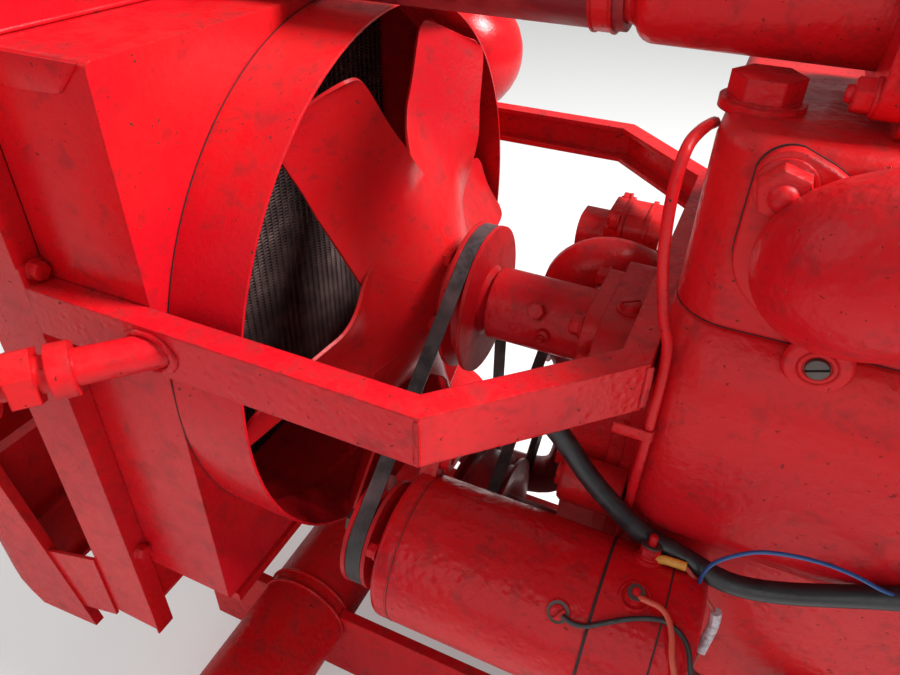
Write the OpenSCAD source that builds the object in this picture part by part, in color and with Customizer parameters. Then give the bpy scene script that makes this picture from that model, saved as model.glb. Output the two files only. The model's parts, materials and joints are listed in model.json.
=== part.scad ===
/* [Layout] */
// Length of the cylinder block along the crankshaft
block_l = 380; // [360:5:420]
// Distance from the front of the block to the fan belt
belt_gap = 150; // [145:1:160]
// Height of the fan shaft above the crankshaft
fan_up = 262; // [258:1:270]
// Distance of the dynamo shaft to the left of the crankshaft
dynamo_out = 168; // [164:1:176]
// Height of the dynamo shaft above the crankshaft
dynamo_up = 164; // [158:1:168]
// Distance of the side pump shaft to the right of the crankshaft
pump_out = 178; // [176:1:190]
// Height of the side pump shaft above the crankshaft
pump_up = 142; // [138:1:150]

/* [Flywheel housing] */
// Outer radius of the rear flange
flange_r = 190; // [185:1:198]
// Thickness of the rear flange
flange_t = 16; // [14:1:20]
// Length of the flywheel housing
housing_l = 60; // [56:1:70]
// Radius of the bell behind the flange
bell_r = 166; // [163:1:168]
// Radius of the recess that the flywheel turns in
recess_r = 152; // [150:1:155]
// Depth of the recess that the flywheel turns in
recess_l = 44; // [42:1:46]
// Bolt circle diameter of the rear flange
flange_pcd = 354; // [350:1:358]
// Number of bolt holes in the rear flange
flange_bolts = 8; // [6:1:12]
// Radius of the bolt holes in the rear flange
flange_hole_r = 6; // [4:0.5:7]
// Radius of the flywheel
flywheel_r = 142; // [136:1:144]
// Thickness of the flywheel
flywheel_t = 26; // [22:1:28]
// Radius of the rear end of the crankshaft
crank_rear_r = 30; // [26:1:34]

/* [Engine] */
// Width of the cylinder block at its widest
block_w = 264; // [258:2:268]
// Radius of the block's and head's front corners
block_corner = 30; // [24:1:34]
// Width of the block's top deck
deck_w = 224; // [216:2:232]
// Width of the crankcase below the water jacket
case_w = 224; // [216:2:228]
// Height of the block's deck above the crankshaft
deck_up = 359; // [355:1:363]
// Depth of the crankcase below the crankshaft
case_low = 62; // [58:1:68]
// Height of the cylinder head
head_h = 98; // [94:1:100]
// Width of the cylinder head
head_w = 224; // [216:2:226]
// Height of the rocker cover
rocker_h = 78; // [60:2:90]
// Width of the rocker cover
rocker_w = 150; // [130:2:164]
// Length of the rocker cover
rocker_l = 240; // [220:2:250]
// Depth of the sump below the crankcase
sump_h = 96; // [80:2:110]
// Thickness of the plate on the front of the block
plate_t = 8; // [6:1:10]
// Depth of the timing cover
timing_t = 37; // [34:1:38]
// Radius of the timing cover round the crankshaft
timing_r = 92; // [88:1:96]

/* [Fan] */
// Radius of the tube that carries the fan shaft
fan_tube_r = 28.5; // [26:0.5:31]
// Radius of the fan shaft
fan_shaft_r = 12; // [10:0.5:14]
// Radius of the fan pulley over its flanges
fan_pulley_r = 59; // [55:0.5:62]
// Gap between the blade tips and the round ring
tip_gap = 10; // [8:0.5:14]
// Number of fan blades
blade_count = 6; // [3:1:6]
// Width of a fan blade at half its length
blade_w = 62; // [56:1:68]
// Pitch angle of the fan blades
blade_pitch = 28; // [24:1:32]
// Thickness of the fan's sheet metal
blade_t = 2.5; // [2:0.5:4]
// Radius of the fan's creased middle
fan_hub_r = 60; // [56:1:64]

/* [Belts and pulleys] */
// Width of a V belt at its back
belt_w = 11; // [9:0.5:13]
// Thickness of a V belt
belt_t = 8; // [7:0.5:9]
// Radius of the crankshaft pulley over its flanges
crank_pulley_r = 72; // [68:1:76]
// Distance between the two grooves of the crankshaft pulley
groove_gap = 32; // [28:1:36]
// Radius of the dynamo pulley over its flanges
dynamo_pulley_r = 38.5; // [36:0.5:42]
// Radius of the side pump pulley over its flanges
pump_pulley_r = 50; // [46:0.5:54]
// Radius of the front end of the crankshaft
crank_shaft_r = 22; // [18:0.5:26]

/* [Dynamo] */
// Radius of the dynamo
dynamo_r = 51; // [48:0.5:53]
// Length of the dynamo's middle casing
yoke_l = 122; // [115:1:130]
// Length of the dynamo's front end
dynamo_front_l = 12; // [10:1:16]
// Length of the dynamo's rear end
dynamo_rear_l = 60; // [50:1:66]
// Distance from the fan belt back to the dynamo's front face
dynamo_back = 19; // [18:1:24]
// Radius of the dynamo shaft
dynamo_shaft_r = 8.5; // [7:0.5:10]

/* [Stay frame] */
// Height of the stay frame's channel section
stay_h = 32; // [28:1:36]
// Gap between the stay frame's channel and the fan cowl's side
stay_gap = 0.5; // [0.4:0.1:1.5]
// Wall thickness of the stay frame
stay_t = 4; // [3:0.5:5]
// Height of the stay frame's lower edge above the fan shaft
stay_up = 48; // [44:1:52]
// Half width of the stay frame's rear cross member
stay_rear_w = 136; // [130:1:142]
// Distance from the fan belt back to the stay frame's front bends
stay_bend = 60; // [54:1:66]

/* [Radiator] */
// Width of the radiator between its side channels
core_w = 420; // [410:2:426]
// Height of the fan cowl above the fan shaft
cowl_high = 213; // [212:1:218]
// Depth of the fan cowl below the fan shaft
cowl_low = 200; // [196:1:206]
// Distance from the fan belt to the fan cowl's rear wall
cowl_ahead = 118; // [112:1:124]
// Length of the fan cowl's box from its rear wall to the radiator
cowl_l = 80; // [74:1:88]
// Length of the round ring behind the fan cowl's rear wall
ring_l = 53; // [48:1:58]
// Distance from the fan cowl's side in to the round ring's inner face
ring_inset = 1.5; // [1:0.5:3]
// Thickness of the fan cowl's sheet metal
sheet_t = 2; // [1.5:0.25:2.5]
// Depth of the radiator core from back to front
core_l = 46; // [40:1:54]
// Number of grooves between the radiator's tubes
core_grooves = 40; // [20:1:52]
// Height of the radiator's top tank
tank_h = 76; // [70:1:90]
// Height of the radiator's bottom tank
bottom_tank_h = 56; // [50:1:58]
// Width of the radiator's side channels
channel_w = 17; // [15:1:20]

/* [Front frame and lamps] */
// Radius of the cross tube under the radiator
tube_r = 45; // [42:1:48]
// Length of the cross tube
tube_l = 560; // [540:5:620]
// Height of the front frame's side plates
rail_h = 100; // [90:2:110]
// Thickness of the front frame's side plates
rail_t = 10; // [8:1:14]
// Radius of the lamp arms
arm_r = 10.5; // [9:0.5:12]
// Radius of the headlamps
lamp_r = 84; // [78:1:88]
// Length of the headlamps
lamp_l = 130; // [120:2:140]

/* [Hidden] */
$fa = 4;
$fs = 1.2;

running = 0.05;
seat = 0.3;
block_front = housing_l + block_l;
belt_x = block_front + belt_gap;
pump_belt_x = belt_x - groove_gap;
timing_front = block_front + plate_t + timing_t;
head_top = deck_up + head_h;
case_bottom = -case_low;
sump_bottom = case_bottom - sump_h;
cowl_x = belt_x + cowl_ahead;
core_x = cowl_x + cowl_l;
core_front = core_x + core_l;
core_low = fan_up - cowl_low;
core_high = fan_up + cowl_high;
side_y = core_w / 2;
ring_r = side_y - ring_inset;
fan_r = ring_r - tip_gap;
channel_y = side_y + channel_w;
sump_side = case_w / 2 - 6;
rail_y = sump_side + seat;
rail_top = case_bottom - 11;
stay_flange = channel_w - stay_gap;
tube_x = cowl_x + 10;
paint = "firebrick";
dark = "#2b2624";

function arc(x, y, r, a, b, n) = [for (i = [0:n])
    let(t = a + (b - a) * i / n) [x + r * cos(t), y + r * sin(t)]];
function round_box(w0, w1, h0, h1, r, n = 5) = concat(
    arc(w1 - r, h0 + r, r, -90, 0, n), arc(w1 - r, h1 - r, r, 0, 90, n),
    arc(w0 + r, h1 - r, r, 90, 180, n), arc(w0 + r, h0 + r, r, 180, 270, n));
function flipped(outline) = [for (p = outline) [p[1], p[0]]];
function moved(outline, y, z) = [for (p = outline) [p[0] + y, p[1] + z]];
function unit(v) = v / norm(v);
function left_of(v) = [-v[1], v[0]];

// A flat outline in the Y-Z plane, made thick along X
module slab_x(x, t) {
    translate([x, 0, 0]) rotate([90, 0, 90]) linear_extrude(t) children();
}
// A turned shape about an axis along X; its outline is in radius and distance forward
module turned_x(x, y, z, outline) {
    translate([x, y, z]) rotate([0, 90, 0]) rotate_extrude() polygon(outline);
}
module rod_x(x0, x1, y, z, r) {
    translate([x0, y, z]) rotate([0, 90, 0]) cylinder(h = x1 - x0, r = r);
}
module rod_y(x, y0, y1, z, r) {
    translate([x, y0, z]) rotate([-90, 0, 0]) cylinder(h = y1 - y0, r = r);
}
module hex_z(h, across) {
    cylinder(h = h, r = across / 2 / cos(30), $fn = 6);
}

// A round tube swept along a route of points
function swept_dir(p, i) = unit(p[min(i + 1, len(p) - 1)] - p[max(i - 1, 0)]);
function carried(s, d) = unit(s - (s * d) * d);
function swept_side(p, i) = carried(i == 0 ? [0.3, 0.2, 1] : swept_side(p, i - 1), swept_dir(p, i));
function swept_ring(p, i, r, sides) = let(d = swept_dir(p, i), s = swept_side(p, i), u = cross(s, d))
    [for (k = [0:sides - 1]) let(a = 360 * k / sides) p[i] + r * (s * cos(a) + u * sin(a))];
module swept(route, r, sides) {
    n = len(route);
    points = [for (i = [0:n - 1]) each swept_ring(route, i, r, sides)];
    walls = [for (i = [0:n - 2]) for (k = [0:sides - 1]) let(a = i * sides, b = (k + 1) % sides)
        each [[a + k, a + b, a + sides + b], [a + k, a + sides + b, a + sides + k]]];
    near = [for (k = [0:sides - 1]) sides - 1 - k];
    far = [for (k = [0:sides - 1]) (n - 1) * sides + k];
    polyhedron(points = points, faces = concat(walls, [near], [far]), convexity = 6);
}

// A solid between rings that have the same even number of points; each end is closed strip by strip
module lofted(rings) {
    n = len(rings[0]);
    last = len(rings) - 1;
    walls = [for (i = [0:last - 1]) for (k = [0:n - 1]) let(a = i * n, b = (k + 1) % n)
        each [[a + k, a + n + b, a + b], [a + k, a + n + k, a + n + b]]];
    near = [for (k = [0:n / 2 - 2]) [k, k + 1, n - 2 - k, n - 1 - k]];
    far = [for (f = near) [for (k = [len(f) - 1:-1:0]) last * n + f[k]]];
    polyhedron(points = [for (r = rings) each r], faces = concat(walls, near, far), convexity = 6);
}
// A round bar between any two points, with a radius for each end
module bar(a, b, r0, r1) {
    d = b - a;
    tilt = acos(d[2] / norm(d));
    translate(a) rotate([0, tilt, atan2(d[1], d[0])]) cylinder(h = norm(d), r1 = r0, r2 = r1);
}
// Steps of a rounded corner: how far along, and how far in
function corner_steps(r, n) = [for (i = [0:n]) [r * sin(quarter * i / n), r * (1 - cos(quarter * i / n))]];
quarter = 90;

// Points of a smooth curve through hand-chosen points
function bend_point(a, b, c, d, t) = 0.5 * (2 * b + (c - a) * t + (2 * a - 5 * b + 4 * c - d) * t * t
    + (3 * b - a - 3 * c + d) * t * t * t);
function smooth(p, n) = let(m = len(p) - 1) concat([for (i = [0:m - 1]) for (k = [0:n - 1])
    bend_point(p[max(i - 1, 0)], p[i], p[i + 1], p[min(i + 2, m)], k / n)], [p[m]]);

// Belts: each pulley is centre y, centre z and groove floor radius, in turning order
function tangent(a, b) = let(d = [b[0] - a[0], b[1] - a[1]])
    atan2(d[1], d[0]) - 90 + asin((a[2] - b[2]) / norm(d));
function after(a, b) = b < a ? after(a, b + 360) : (b - a > 360 ? after(a, b - 360) : b);
function belt_arc(before, p, next, r, n) = let(a = tangent(before, p), b = after(a, tangent(p, next)))
    arc(p[0], p[1], p[2] + r, a, b, n);
function belt_run(pulleys, r, n) = let(m = len(pulleys)) [for (i = [0:m - 1])
    each belt_arc(pulleys[(i + m - 1) % m], pulleys[i], pulleys[(i + 1) % m], r, n)];
belt_slope = 18;
belt_nose = belt_w - 2 * belt_t * tan(belt_slope);
floor_gap = 1.5;
module v_belt(x, pulleys) {
    inner = belt_run(pulleys, floor_gap, 14);
    outer = belt_run(pulleys, floor_gap + belt_t, 14);
    n = len(inner);
    points = [for (i = [0:n - 1]) each [
        [x - belt_nose / 2, inner[i][0], inner[i][1]], [x - belt_w / 2, outer[i][0], outer[i][1]],
        [x + belt_w / 2, outer[i][0], outer[i][1]], [x + belt_nose / 2, inner[i][0], inner[i][1]]]];
    corners = 4;
    faces = [for (i = [0:n - 1]) for (k = [0:corners - 1])
        let(a = corners * i, b = corners * ((i + 1) % n), j = (k + 1) % corners)
        each [[a + k, a + j, b + j], [a + k, b + j, b + k]]];
    color(dark) polyhedron(points = points, faces = faces, convexity = 6);
}

// One V groove in a pulley outline: radius and distance forward, round the groove's middle
groove_side = 0.35;
groove_depth = belt_t + 2;
groove_low = belt_nose / 2 + groove_side - floor_gap * tan(belt_slope);
groove_half = groove_low + groove_depth * tan(belt_slope);
function groove_floor(r) = r - groove_depth;
function groove(r, x) = [[r, x + groove_half], [groove_floor(r), x + groove_low],
    [groove_floor(r), x - groove_low], [r, x - groove_half]];
lip = 3;
pulley_half = groove_half + lip;
crank_at = [0, 0, groove_floor(crank_pulley_r)];
fan_at = [0, fan_up, groove_floor(fan_pulley_r)];
dynamo_at = [dynamo_out, dynamo_up, groove_floor(dynamo_pulley_r)];
pump_at = [-pump_out, pump_up, groove_floor(pump_pulley_r)];

module flywheel_housing() {
    wall = housing_l - recess_l;
    color(paint) difference() {
        turned_x(0, 0, 0, [[0, 0], [flange_r, 0], [flange_r, flange_t], [bell_r + 6, flange_t],
            [bell_r, flange_t + 6], [bell_r, housing_l - 8], [bell_r - 8, housing_l], [0, housing_l]]);
        rod_x(-1, recess_l, 0, 0, recess_r);
        rod_x(recess_l - 1, housing_l + 1, 0, 0, crank_rear_r + running);
        for (i = [0:flange_bolts - 1])
            rotate([(i + 0.5) * 360 / flange_bolts, 0, 0])
                rod_x(-1, flange_t + 1, flange_pcd / 2, 0, flange_hole_r);
    }
}

// Half of the block's outline, from the crankcase's flange up to the deck
case_flange = 12;
lower_r = 30;
upper_r = 60;
boss_r = 9.5;
boss_back = 75;
inlet_pad = 34;
pad_back = 0.3;
module engine_block() {
    w = block_w / 2;
    d = deck_w / 2;
    c = case_w / 2;
    half = concat([[c + case_flange, case_bottom], [c + case_flange, case_bottom + 14],
        [c, case_bottom + 26], [c, fan_up - 72]], arc(w - lower_r, fan_up - 30, lower_r, -60, 0, 5),
        arc(w - upper_r, deck_up - 43, upper_r, 0, 45, 7), [[d, deck_up]]);
    pad = round_box(inlet_y - inlet_pad, -w + 50, inlet_z - inlet_pad - 2, inlet_z + inlet_pad + 2, 8);
    outline = concat(half, [for (i = [len(half) - 1:-1:0]) [-half[i][0], half[i][1]]]);
    corner_back = block_front - block_corner;
    stations = [for (p = corner_steps(block_corner, 6)) [corner_back + p[0], p[1]]];
    color(paint) difference() {
        union() {
            slab_x(housing_l, corner_back - housing_l) polygon(outline);
            lofted([for (at = stations)
                [for (p = outline) [at[0], sign(p[0]) * (abs(p[0]) - at[1]), p[1]]]]);
            slab_x(block_front - 40, 40 - pad_back) polygon(pad);
            rod_y(block_front - boss_back, head_w / 2 + seat, head_w / 2 + 12, deck_up - 2, boss_r);
        }
        rod_x(housing_l - 1, housing_l + 2, 0, 0, crank_rear_r + running);
    }
}

// The head, with rounded corners and a rounded upper edge, and the raised boss for its plug
head_edge = 9;
plug_x = block_front - 17;
plug_y = 58;
module cylinder_head() {
    w = head_w / 2;
    back = housing_l + 4;
    front = block_front - 0.5;
    edge = concat([[deck_up, 0]],
        [for (p = corner_steps(head_edge, 4)) [head_top - head_edge + p[0], p[1]]]);
    plans = [for (e = edge) let(in = e[1], r = block_corner - in)
        [for (p = round_box(back + in, front - in, in - w, w - in, r, 7)) [p[0], p[1], e[0]]]];
    color(paint) {
        lofted(plans);
        translate([plug_x, plug_y, head_top - 2]) cylinder(h = 5, r = 21);
        translate([plug_x, plug_y, head_top + 2]) cylinder(h = 2, r = 18);
        translate([plug_x, plug_y, head_top + 3]) hex_z(12, 31);
    }
}

module rocker_cover() {
    w = rocker_w / 2;
    x0 = housing_l + 14;
    rim = 8;
    rim_h = 10;
    r = 24;
    top = rocker_h - rim_h + 1;
    hood = concat([[w, 0]], arc(w - r, top - r, r, 0, 90, 7), arc(r - w, top - r, r, 90, 180, 7), [[-w, 0]]);
    color(paint) {
        translate([0, 0, head_top]) linear_extrude(rim_h)
            polygon(round_box(x0, x0 + rocker_l, -w - rim, w + rim, 16));
        translate([x0 + rim, 0, head_top + rim_h - 1]) rotate([90, 0, 90])
            linear_extrude(rocker_l - 2 * rim) polygon(hood);
        translate([x0 + 60, 0, head_top + rocker_h - 1]) cylinder(h = 22, r = r);
    }
}

module sump() {
    w = case_w / 2 + 12;
    color(paint) {
        translate([0, 0, case_bottom - 10]) linear_extrude(10)
            polygon(round_box(housing_l + 8, block_front - 4, -w, w, 14));
        slab_x(housing_l + 20, block_l - 36) polygon(concat([[sump_side, case_bottom - 9]],
            arc(sump_side - 30, sump_bottom + 30, 30, 0, -90, 6),
            arc(-sump_side + 30, sump_bottom + 30, 30, -90, -180, 6), [[-sump_side, case_bottom - 9]]));
        translate([block_front - 60, 0, sump_bottom - 9]) hex_z(10, 24);
    }
}

// Outline of the timing cover, round the crankshaft below and the fan housing above
timing_top = fan_up + 36;
timing_neck = 72;
function timing_outline(extra) = concat(
    arc(0, 0, timing_r + extra, -180, 0, 24),
    [[timing_r + extra, 90]],
    arc(timing_neck - 34, timing_top - 34, 34 + extra, 10, 90, 6),
    arc(34 - timing_neck, timing_top - 34, 34 + extra, 90, 170, 6),
    [[-timing_r - extra, 90]]);

module front_plate() {
    color(paint) difference() {
        slab_x(block_front, plate_t) polygon(timing_outline(10));
        rod_x(block_front - 1, block_front + plate_t + 1, 0, 0, crank_shaft_r + 4);
    }
}

module timing_cover() {
    x = block_front + plate_t;
    color(paint) difference() {
        union() {
            slab_x(x, 10) polygon(timing_outline(6));
            slab_x(x, timing_t) polygon(timing_outline(0));
            rod_x(x, timing_front + 8, 0, 0, crank_shaft_r + 14);
        }
        rod_x(x - 1, timing_front + 9, 0, 0, crank_shaft_r + running);
    }
}

// The pipe casting on the head's front that carries the hose to the radiator
outlet_y = 30;
outlet_z = head_top + 46;
outlet_r = 30;
hose_neck_r = 22;
outlet_back = block_front - 66;
outlet_front = belt_x - 90;
outlet_l = outlet_front - outlet_back;
module water_outlet() {
    body = round_box(outlet_y - 46, outlet_y + 60, head_top, outlet_z + 38, 8);
    plate = round_box(outlet_y - 52, outlet_y + 66, head_top + 8, outlet_z + 46, 12);
    neck = hose_neck_r - seat;
    color(paint) {
        slab_x(outlet_back - 40, 32) polygon(body);
        slab_x(outlet_back - 8, 12) polygon(plate);
        turned_x(outlet_back + 3, outlet_y, outlet_z, concat([[0, 0], [outlet_r, 0]],
            flipped(arc(outlet_l - 18, outlet_r - 10, 10, 90, 20, 5)),
            [[neck, outlet_l - 6], [neck, outlet_l + 34], [0, outlet_l + 34]]));
    }
}

hose_r = 26;
tank_back = core_x - 6;
neck_l = 30;
module top_hose() {
    color(dark) difference() {
        rod_x(outlet_front, tank_back - 6, outlet_y, outlet_z, hose_r);
        rod_x(outlet_front - 1, outlet_front + 38, outlet_y, outlet_z, hose_neck_r);
        rod_x(tank_back - neck_l, tank_back, outlet_y, outlet_z, hose_neck_r);
    }
}

// A plate on the head's side, drawn as seen from the left: distance along and height
module side_plate(y, t, outline) {
    translate([0, y + t, 0]) rotate([90, 0, 0]) linear_extrude(t) polygon(outline);
}

// Inlet pipe: a fat elbow off a flange at the front, then up and back to the rear cylinder
// Each point has its own radius, the last number; the run goes from the front plate to the rear one
intake_y = head_w / 2;
intake_z = deck_up + 44;
intake_front = block_front - 62;
intake_rear = housing_l + 62;
intake_route = [
    [intake_front, intake_y + 3, intake_z, 23], [intake_front, intake_y + 15, intake_z, 29],
    [intake_front - 9, intake_y + 29, intake_z + 2, 34.5],
    [intake_front - 26, intake_y + 37, intake_z + 9, 37.5],
    [intake_front - 50, intake_y + 41, intake_z + 17, 39],
    [intake_front - 84, intake_y + 42, intake_z + 21, 39.5],
    [intake_front - 140, intake_y + 41, intake_z + 16, 39],
    [intake_rear + 62, intake_y + 40, intake_z + 8, 38],
    [intake_rear + 32, intake_y + 37, intake_z + 4, 37], [intake_rear + 11, intake_y + 29, intake_z + 2, 34],
    [intake_rear, intake_y + 15, intake_z, 29], [intake_rear, intake_y + 3, intake_z, 23]
];
module intake_manifold() {
    y = head_w / 2;
    x = block_front - 22.5;
    top = head_top - 12;
    plate = concat(arc(x - 37, deck_up + 50, 37, -100, 0, 8), [[x, head_top - 26]],
        arc(x - 11, top, 10, 0, 90, 4), arc(x - 104, top, 10, 90, 180, 3),
        arc(x - 84, deck_up + 40, 30, 180, 250, 4));
    plate_half = 46;
    back = intake_rear + 4;
    color(paint) {
        side_plate(y, 7, plate);
        side_plate(y, 7, round_box(back - plate_half, back + plate_half, deck_up + 8, head_top - 2, 14));
        run = smooth(intake_route, 3);
        line = [for (p = run) [p[0], p[1], p[2]]];
        lofted([for (i = [len(run) - 1:-1:0]) swept_ring(line, i, run[i][3], 16)]);
    }
}

// Exhaust pipe on the right: straight along the head, with a branch for each cylinder
exhaust_r = 32;
exhaust_y = -head_w / 2 - exhaust_r - 12;
exhaust_z = deck_up + 52;
exhaust_back = housing_l + 20;
exhaust_front = block_front - 60;
module exhaust_manifold() {
    r = exhaust_r;
    wall = -head_w / 2;
    color("saddlebrown") {
        bar([exhaust_back + r, exhaust_y, exhaust_z], [exhaust_front - r, exhaust_y, exhaust_z], r, r);
        for (x = [exhaust_back + r, exhaust_front - r]) {
            translate([x, exhaust_y, exhaust_z]) sphere(r = r);
            rod_y(x, exhaust_y, wall, exhaust_z, r - 4);
            side_plate(wall - 10, 10, round_box(x - 44, x + 44, exhaust_z - 34, exhaust_z + 34, 12));
        }
    }
}

fan_tube_front = belt_x - 16;
module fan_housing() {
    color(paint) difference() {
        union() {
            rod_x(timing_front, fan_tube_front, 0, fan_up, fan_tube_r);
            slab_x(timing_front, 12) polygon(moved(round_box(-46, 46, -33, 33, 16), 0, fan_up));
            translate([belt_x - 56, 20, fan_up + 14]) rotate([-55, 0, 0]) hex_z(16, 11);
        }
        rod_x(fan_tube_front - 24, fan_tube_front + 1, 0, fan_up, fan_shaft_r + running);
    }
}

// The elbow on the block's front right corner, and the hose from it to the bottom tank
inlet_y = -118;
inlet_z = 236;
inlet_r = 23;
inlet_neck_r = 17;
bottom_hose_r = 21;
bottom_neck_y = -112;
bottom_neck_z = core_low - 30;
neck_route = [[1.5, -118, 236], [6, -118, 236], [14, -117, 237], [26, -113, 243], [38, -108, 252]];
elbow_route = [[34, -110, 249], [40, -107, 254], [50, -102, 260], [64, -95, 265], [78, -89, 265],
    [90, -85, 258], [97, -84, 247], [98, -84, 238], [98, -84, 230], [98, -84, 222]];
hose_route = [[98, -84, 222], [98, -84, 214], [98, -84, 206], [91, -88, 178], [79, -97, 140],
    [75, -106, 100], [75, -111, 50], [78, -112, 10], [90, -112, -18], [118, -112, -32],
    [160, -112, -33], [210, -112, -18],
    [255, -112, 8], [288, -112, 25]];
module water_inlet() {
    plate = moved(round_box(-26, 26, -34, 34, 10), inlet_y, inlet_z);
    rim = from_front([elbow_route[0], elbow_route[1]]);
    color(paint) {
        slab_x(block_front, 10) polygon(plate);
        swept(smooth(from_front(neck_route), 3), inlet_neck_r, 12);
        swept(smooth(from_front(elbow_route), 3), inlet_r, 14);
        bar(rim[0], rim[1], inlet_r + 3, inlet_r + 3);
    }
}
module bottom_hose() {
    ends = [for (back = [37, 21, 5]) [core_x - back, bottom_neck_y, bottom_neck_z]];
    color(dark) swept(smooth(concat(from_front(hose_route), ends), 3), bottom_hose_r, 12);
}

// Belt-driven pump on the right, on an arm from the block's side, with a stacked housing above it
pump_front = pump_belt_x - 18;
pump_body_r = 46;
pump_arm = 34;
pump_l = 90;
stack_back = pump_front - 62;
stack_y = -pump_out - 2;
module side_pump() {
    arm_x = block_front - 60;
    color(paint) difference() {
        union() {
            turned_x(pump_front - pump_l, -pump_out, pump_up, [[0, 0], [pump_body_r - 4, 0],
                [pump_body_r, 4], [pump_body_r, 60], [pump_arm, 66], [pump_arm, pump_l], [0, pump_l]]);
            translate([arm_x, -pump_out, pump_up - pump_arm])
                cube([pump_front - 60 - arm_x, pump_out - case_w / 2, 2 * pump_arm]);
            slab_x(stack_back, 50) polygon(moved(round_box(-31, 31, 0, 139, 16), stack_y, pump_up));
            for (x = [12, 34])
                slab_x(stack_back + x, 4) polygon(moved(round_box(-34, 34, 50, 141, 18), stack_y, pump_up));
            slab_x(stack_back + 49, 28) polygon(moved(round_box(-25, 25, 62, 127, 18), stack_y, pump_up));
        }
        rod_x(pump_front - 24, pump_front + 1, -pump_out, pump_up, dynamo_shaft_r + running);
    }
}

dynamo_front = belt_x - dynamo_back;
yoke_front = dynamo_front - dynamo_front_l;
yoke_back = yoke_front - yoke_l;
lug_low = dynamo_r + 18;
ear_up = dynamo_r + 13;
ear_turn = 38;
ear_r = 9;
ear_hole_r = 4;
ear_y = dynamo_out - ear_up * sin(ear_turn);
ear_z = dynamo_up + ear_up * cos(ear_turn);
lug_r = 14;
lug_y = dynamo_out - lug_r;
lug_z = dynamo_up - lug_low;
module on_dynamo(x, turn) {
    translate([x, dynamo_out, dynamo_up]) rotate([turn, 0, 0]) rotate([90, 0, 90]) children();
}
module dynamo_lug(x, t) {
    on_dynamo(x, 0) linear_extrude(t)
        polygon(concat([[-20, -30]], arc(-lug_r, -lug_low, lug_r, -180, 0, 8), [[20, -30]]));
}
module lug_bore(x0, x1) {
    rod_x(x0, x1, lug_y, lug_z, 6);
}

module dynamo_front_end() {
    edge = 5;
    color(paint) difference() {
        union() {
            turned_x(yoke_front, dynamo_out, dynamo_up, concat([[0, 0], [dynamo_r, 0]],
                flipped(arc(dynamo_front_l - edge, dynamo_r - edge, edge, 90, 0, 4)),
                [[0, dynamo_front_l]]));
            dynamo_lug(yoke_front, dynamo_front_l);
            on_dynamo(yoke_front, ear_turn) linear_extrude(dynamo_front_l)
                polygon(concat([[ear_r, 30]], arc(0, ear_up, ear_r, 0, 180, 8), [[-ear_r, 30]]));
        }
        rod_x(yoke_front - 1, dynamo_front + 1, dynamo_out, dynamo_up, dynamo_shaft_r + running);
        lug_bore(yoke_front - 1, dynamo_front + 1);
        rod_x(yoke_front - 1, dynamo_front + 1, ear_y, ear_z, ear_hole_r);
    }
}

module dynamo_yoke() {
    color(paint) difference() {
        rod_x(yoke_back, yoke_front, dynamo_out, dynamo_up, dynamo_r);
        rod_x(yoke_front - 12, yoke_front + 1, dynamo_out, dynamo_up, dynamo_shaft_r + 3);
    }
}

module dynamo_rear_end() {
    color(paint) {
        turned_x(yoke_back - dynamo_rear_l, dynamo_out, dynamo_up, concat([[0, 0], [dynamo_r - 16, 0]],
            flipped(arc(8, dynamo_r - 10, 8, 180, 90, 4)),
            [[dynamo_r, 14], [dynamo_r, dynamo_rear_l], [0, dynamo_rear_l]]));
        difference() {
            dynamo_lug(yoke_back - dynamo_front_l, dynamo_front_l);
            lug_bore(yoke_back - dynamo_front_l - 1, yoke_back + 1);
        }
    }
}

// The shelf on the block's side that the dynamo's lower lugs are bolted to
module dynamo_bracket() {
    t = 14;
    foot = case_w / 2;
    foot_z = lug_z - 40;
    front_arm = yoke_front - t - seat;
    rear_arm = yoke_back + seat;
    arm = concat(arc(lug_y, lug_z, lug_r, -100, 90, 8), [[foot, lug_z + lug_r], [foot, foot_z]]);
    color(paint) {
        difference() {
            for (x = [front_arm, rear_arm])
                slab_x(x, t) polygon(arm);
            lug_bore(rear_arm - 1, front_arm + t + 1);
        }
        translate([block_front - 70, foot, foot_z]) cube([front_arm + t - block_front + 70, 12, 54]);
        rod_x(yoke_back - dynamo_front_l - 8, dynamo_front + 8, lug_y, lug_z, 5.8);
    }
}

// The strap from the timing cover to the dynamo's ear
module adjusting_strap() {
    x = yoke_front - 6 - seat;
    y = timing_neck - 14;
    z = fan_up - 50;
    color(paint) {
        difference() {
            slab_x(x, 6) polygon(concat(arc(ear_y, ear_z, ear_r, -90, 90, 6), arc(y, z, ear_r, 90, 270, 6)));
            rod_x(x - 1, x + 7, ear_y, ear_z, ear_hole_r);
        }
        rod_x(timing_front, x + 8, y, z, 7);
    }
}

// The stay frame's route in plan, down its outer face from the left arm's front
stay_front = core_x - 2;
stay_back = block_front;
stay_half = [[stay_front, channel_y], [belt_x - stay_bend, channel_y], [stay_back, stay_rear_w]];
stay_route = concat(stay_half, [for (i = [2:-1:0]) [stay_half[i][0], -stay_half[i][1]]]);
function side_of(p, i) = left_of(unit(p[i + 1] - p[i]));
function mitre(p, i) = let(a = side_of(p, i - 1), b = side_of(p, i)) (a + b) / (1 + a * b);
function side_line(p, d) = let(m = len(p) - 1) [for (i = [0:m])
    p[i] + d * (i == 0 ? side_of(p, 0) : (i == m ? side_of(p, m - 1) : mitre(p, i)))];
module stay_strip(w, h) {
    inner = side_line(stay_route, w);
    linear_extrude(h) polygon(concat(stay_route, [for (i = [len(inner) - 1:-1:0]) inner[i]]));
}
module stay_frame() {
    color(paint) translate([0, 0, fan_up + stay_up]) {
        stay_strip(stay_t, stay_h);
        stay_strip(stay_flange, stay_t);
        translate([0, 0, stay_h - stay_t]) stay_strip(stay_flange, stay_t);
    }
}

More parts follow.
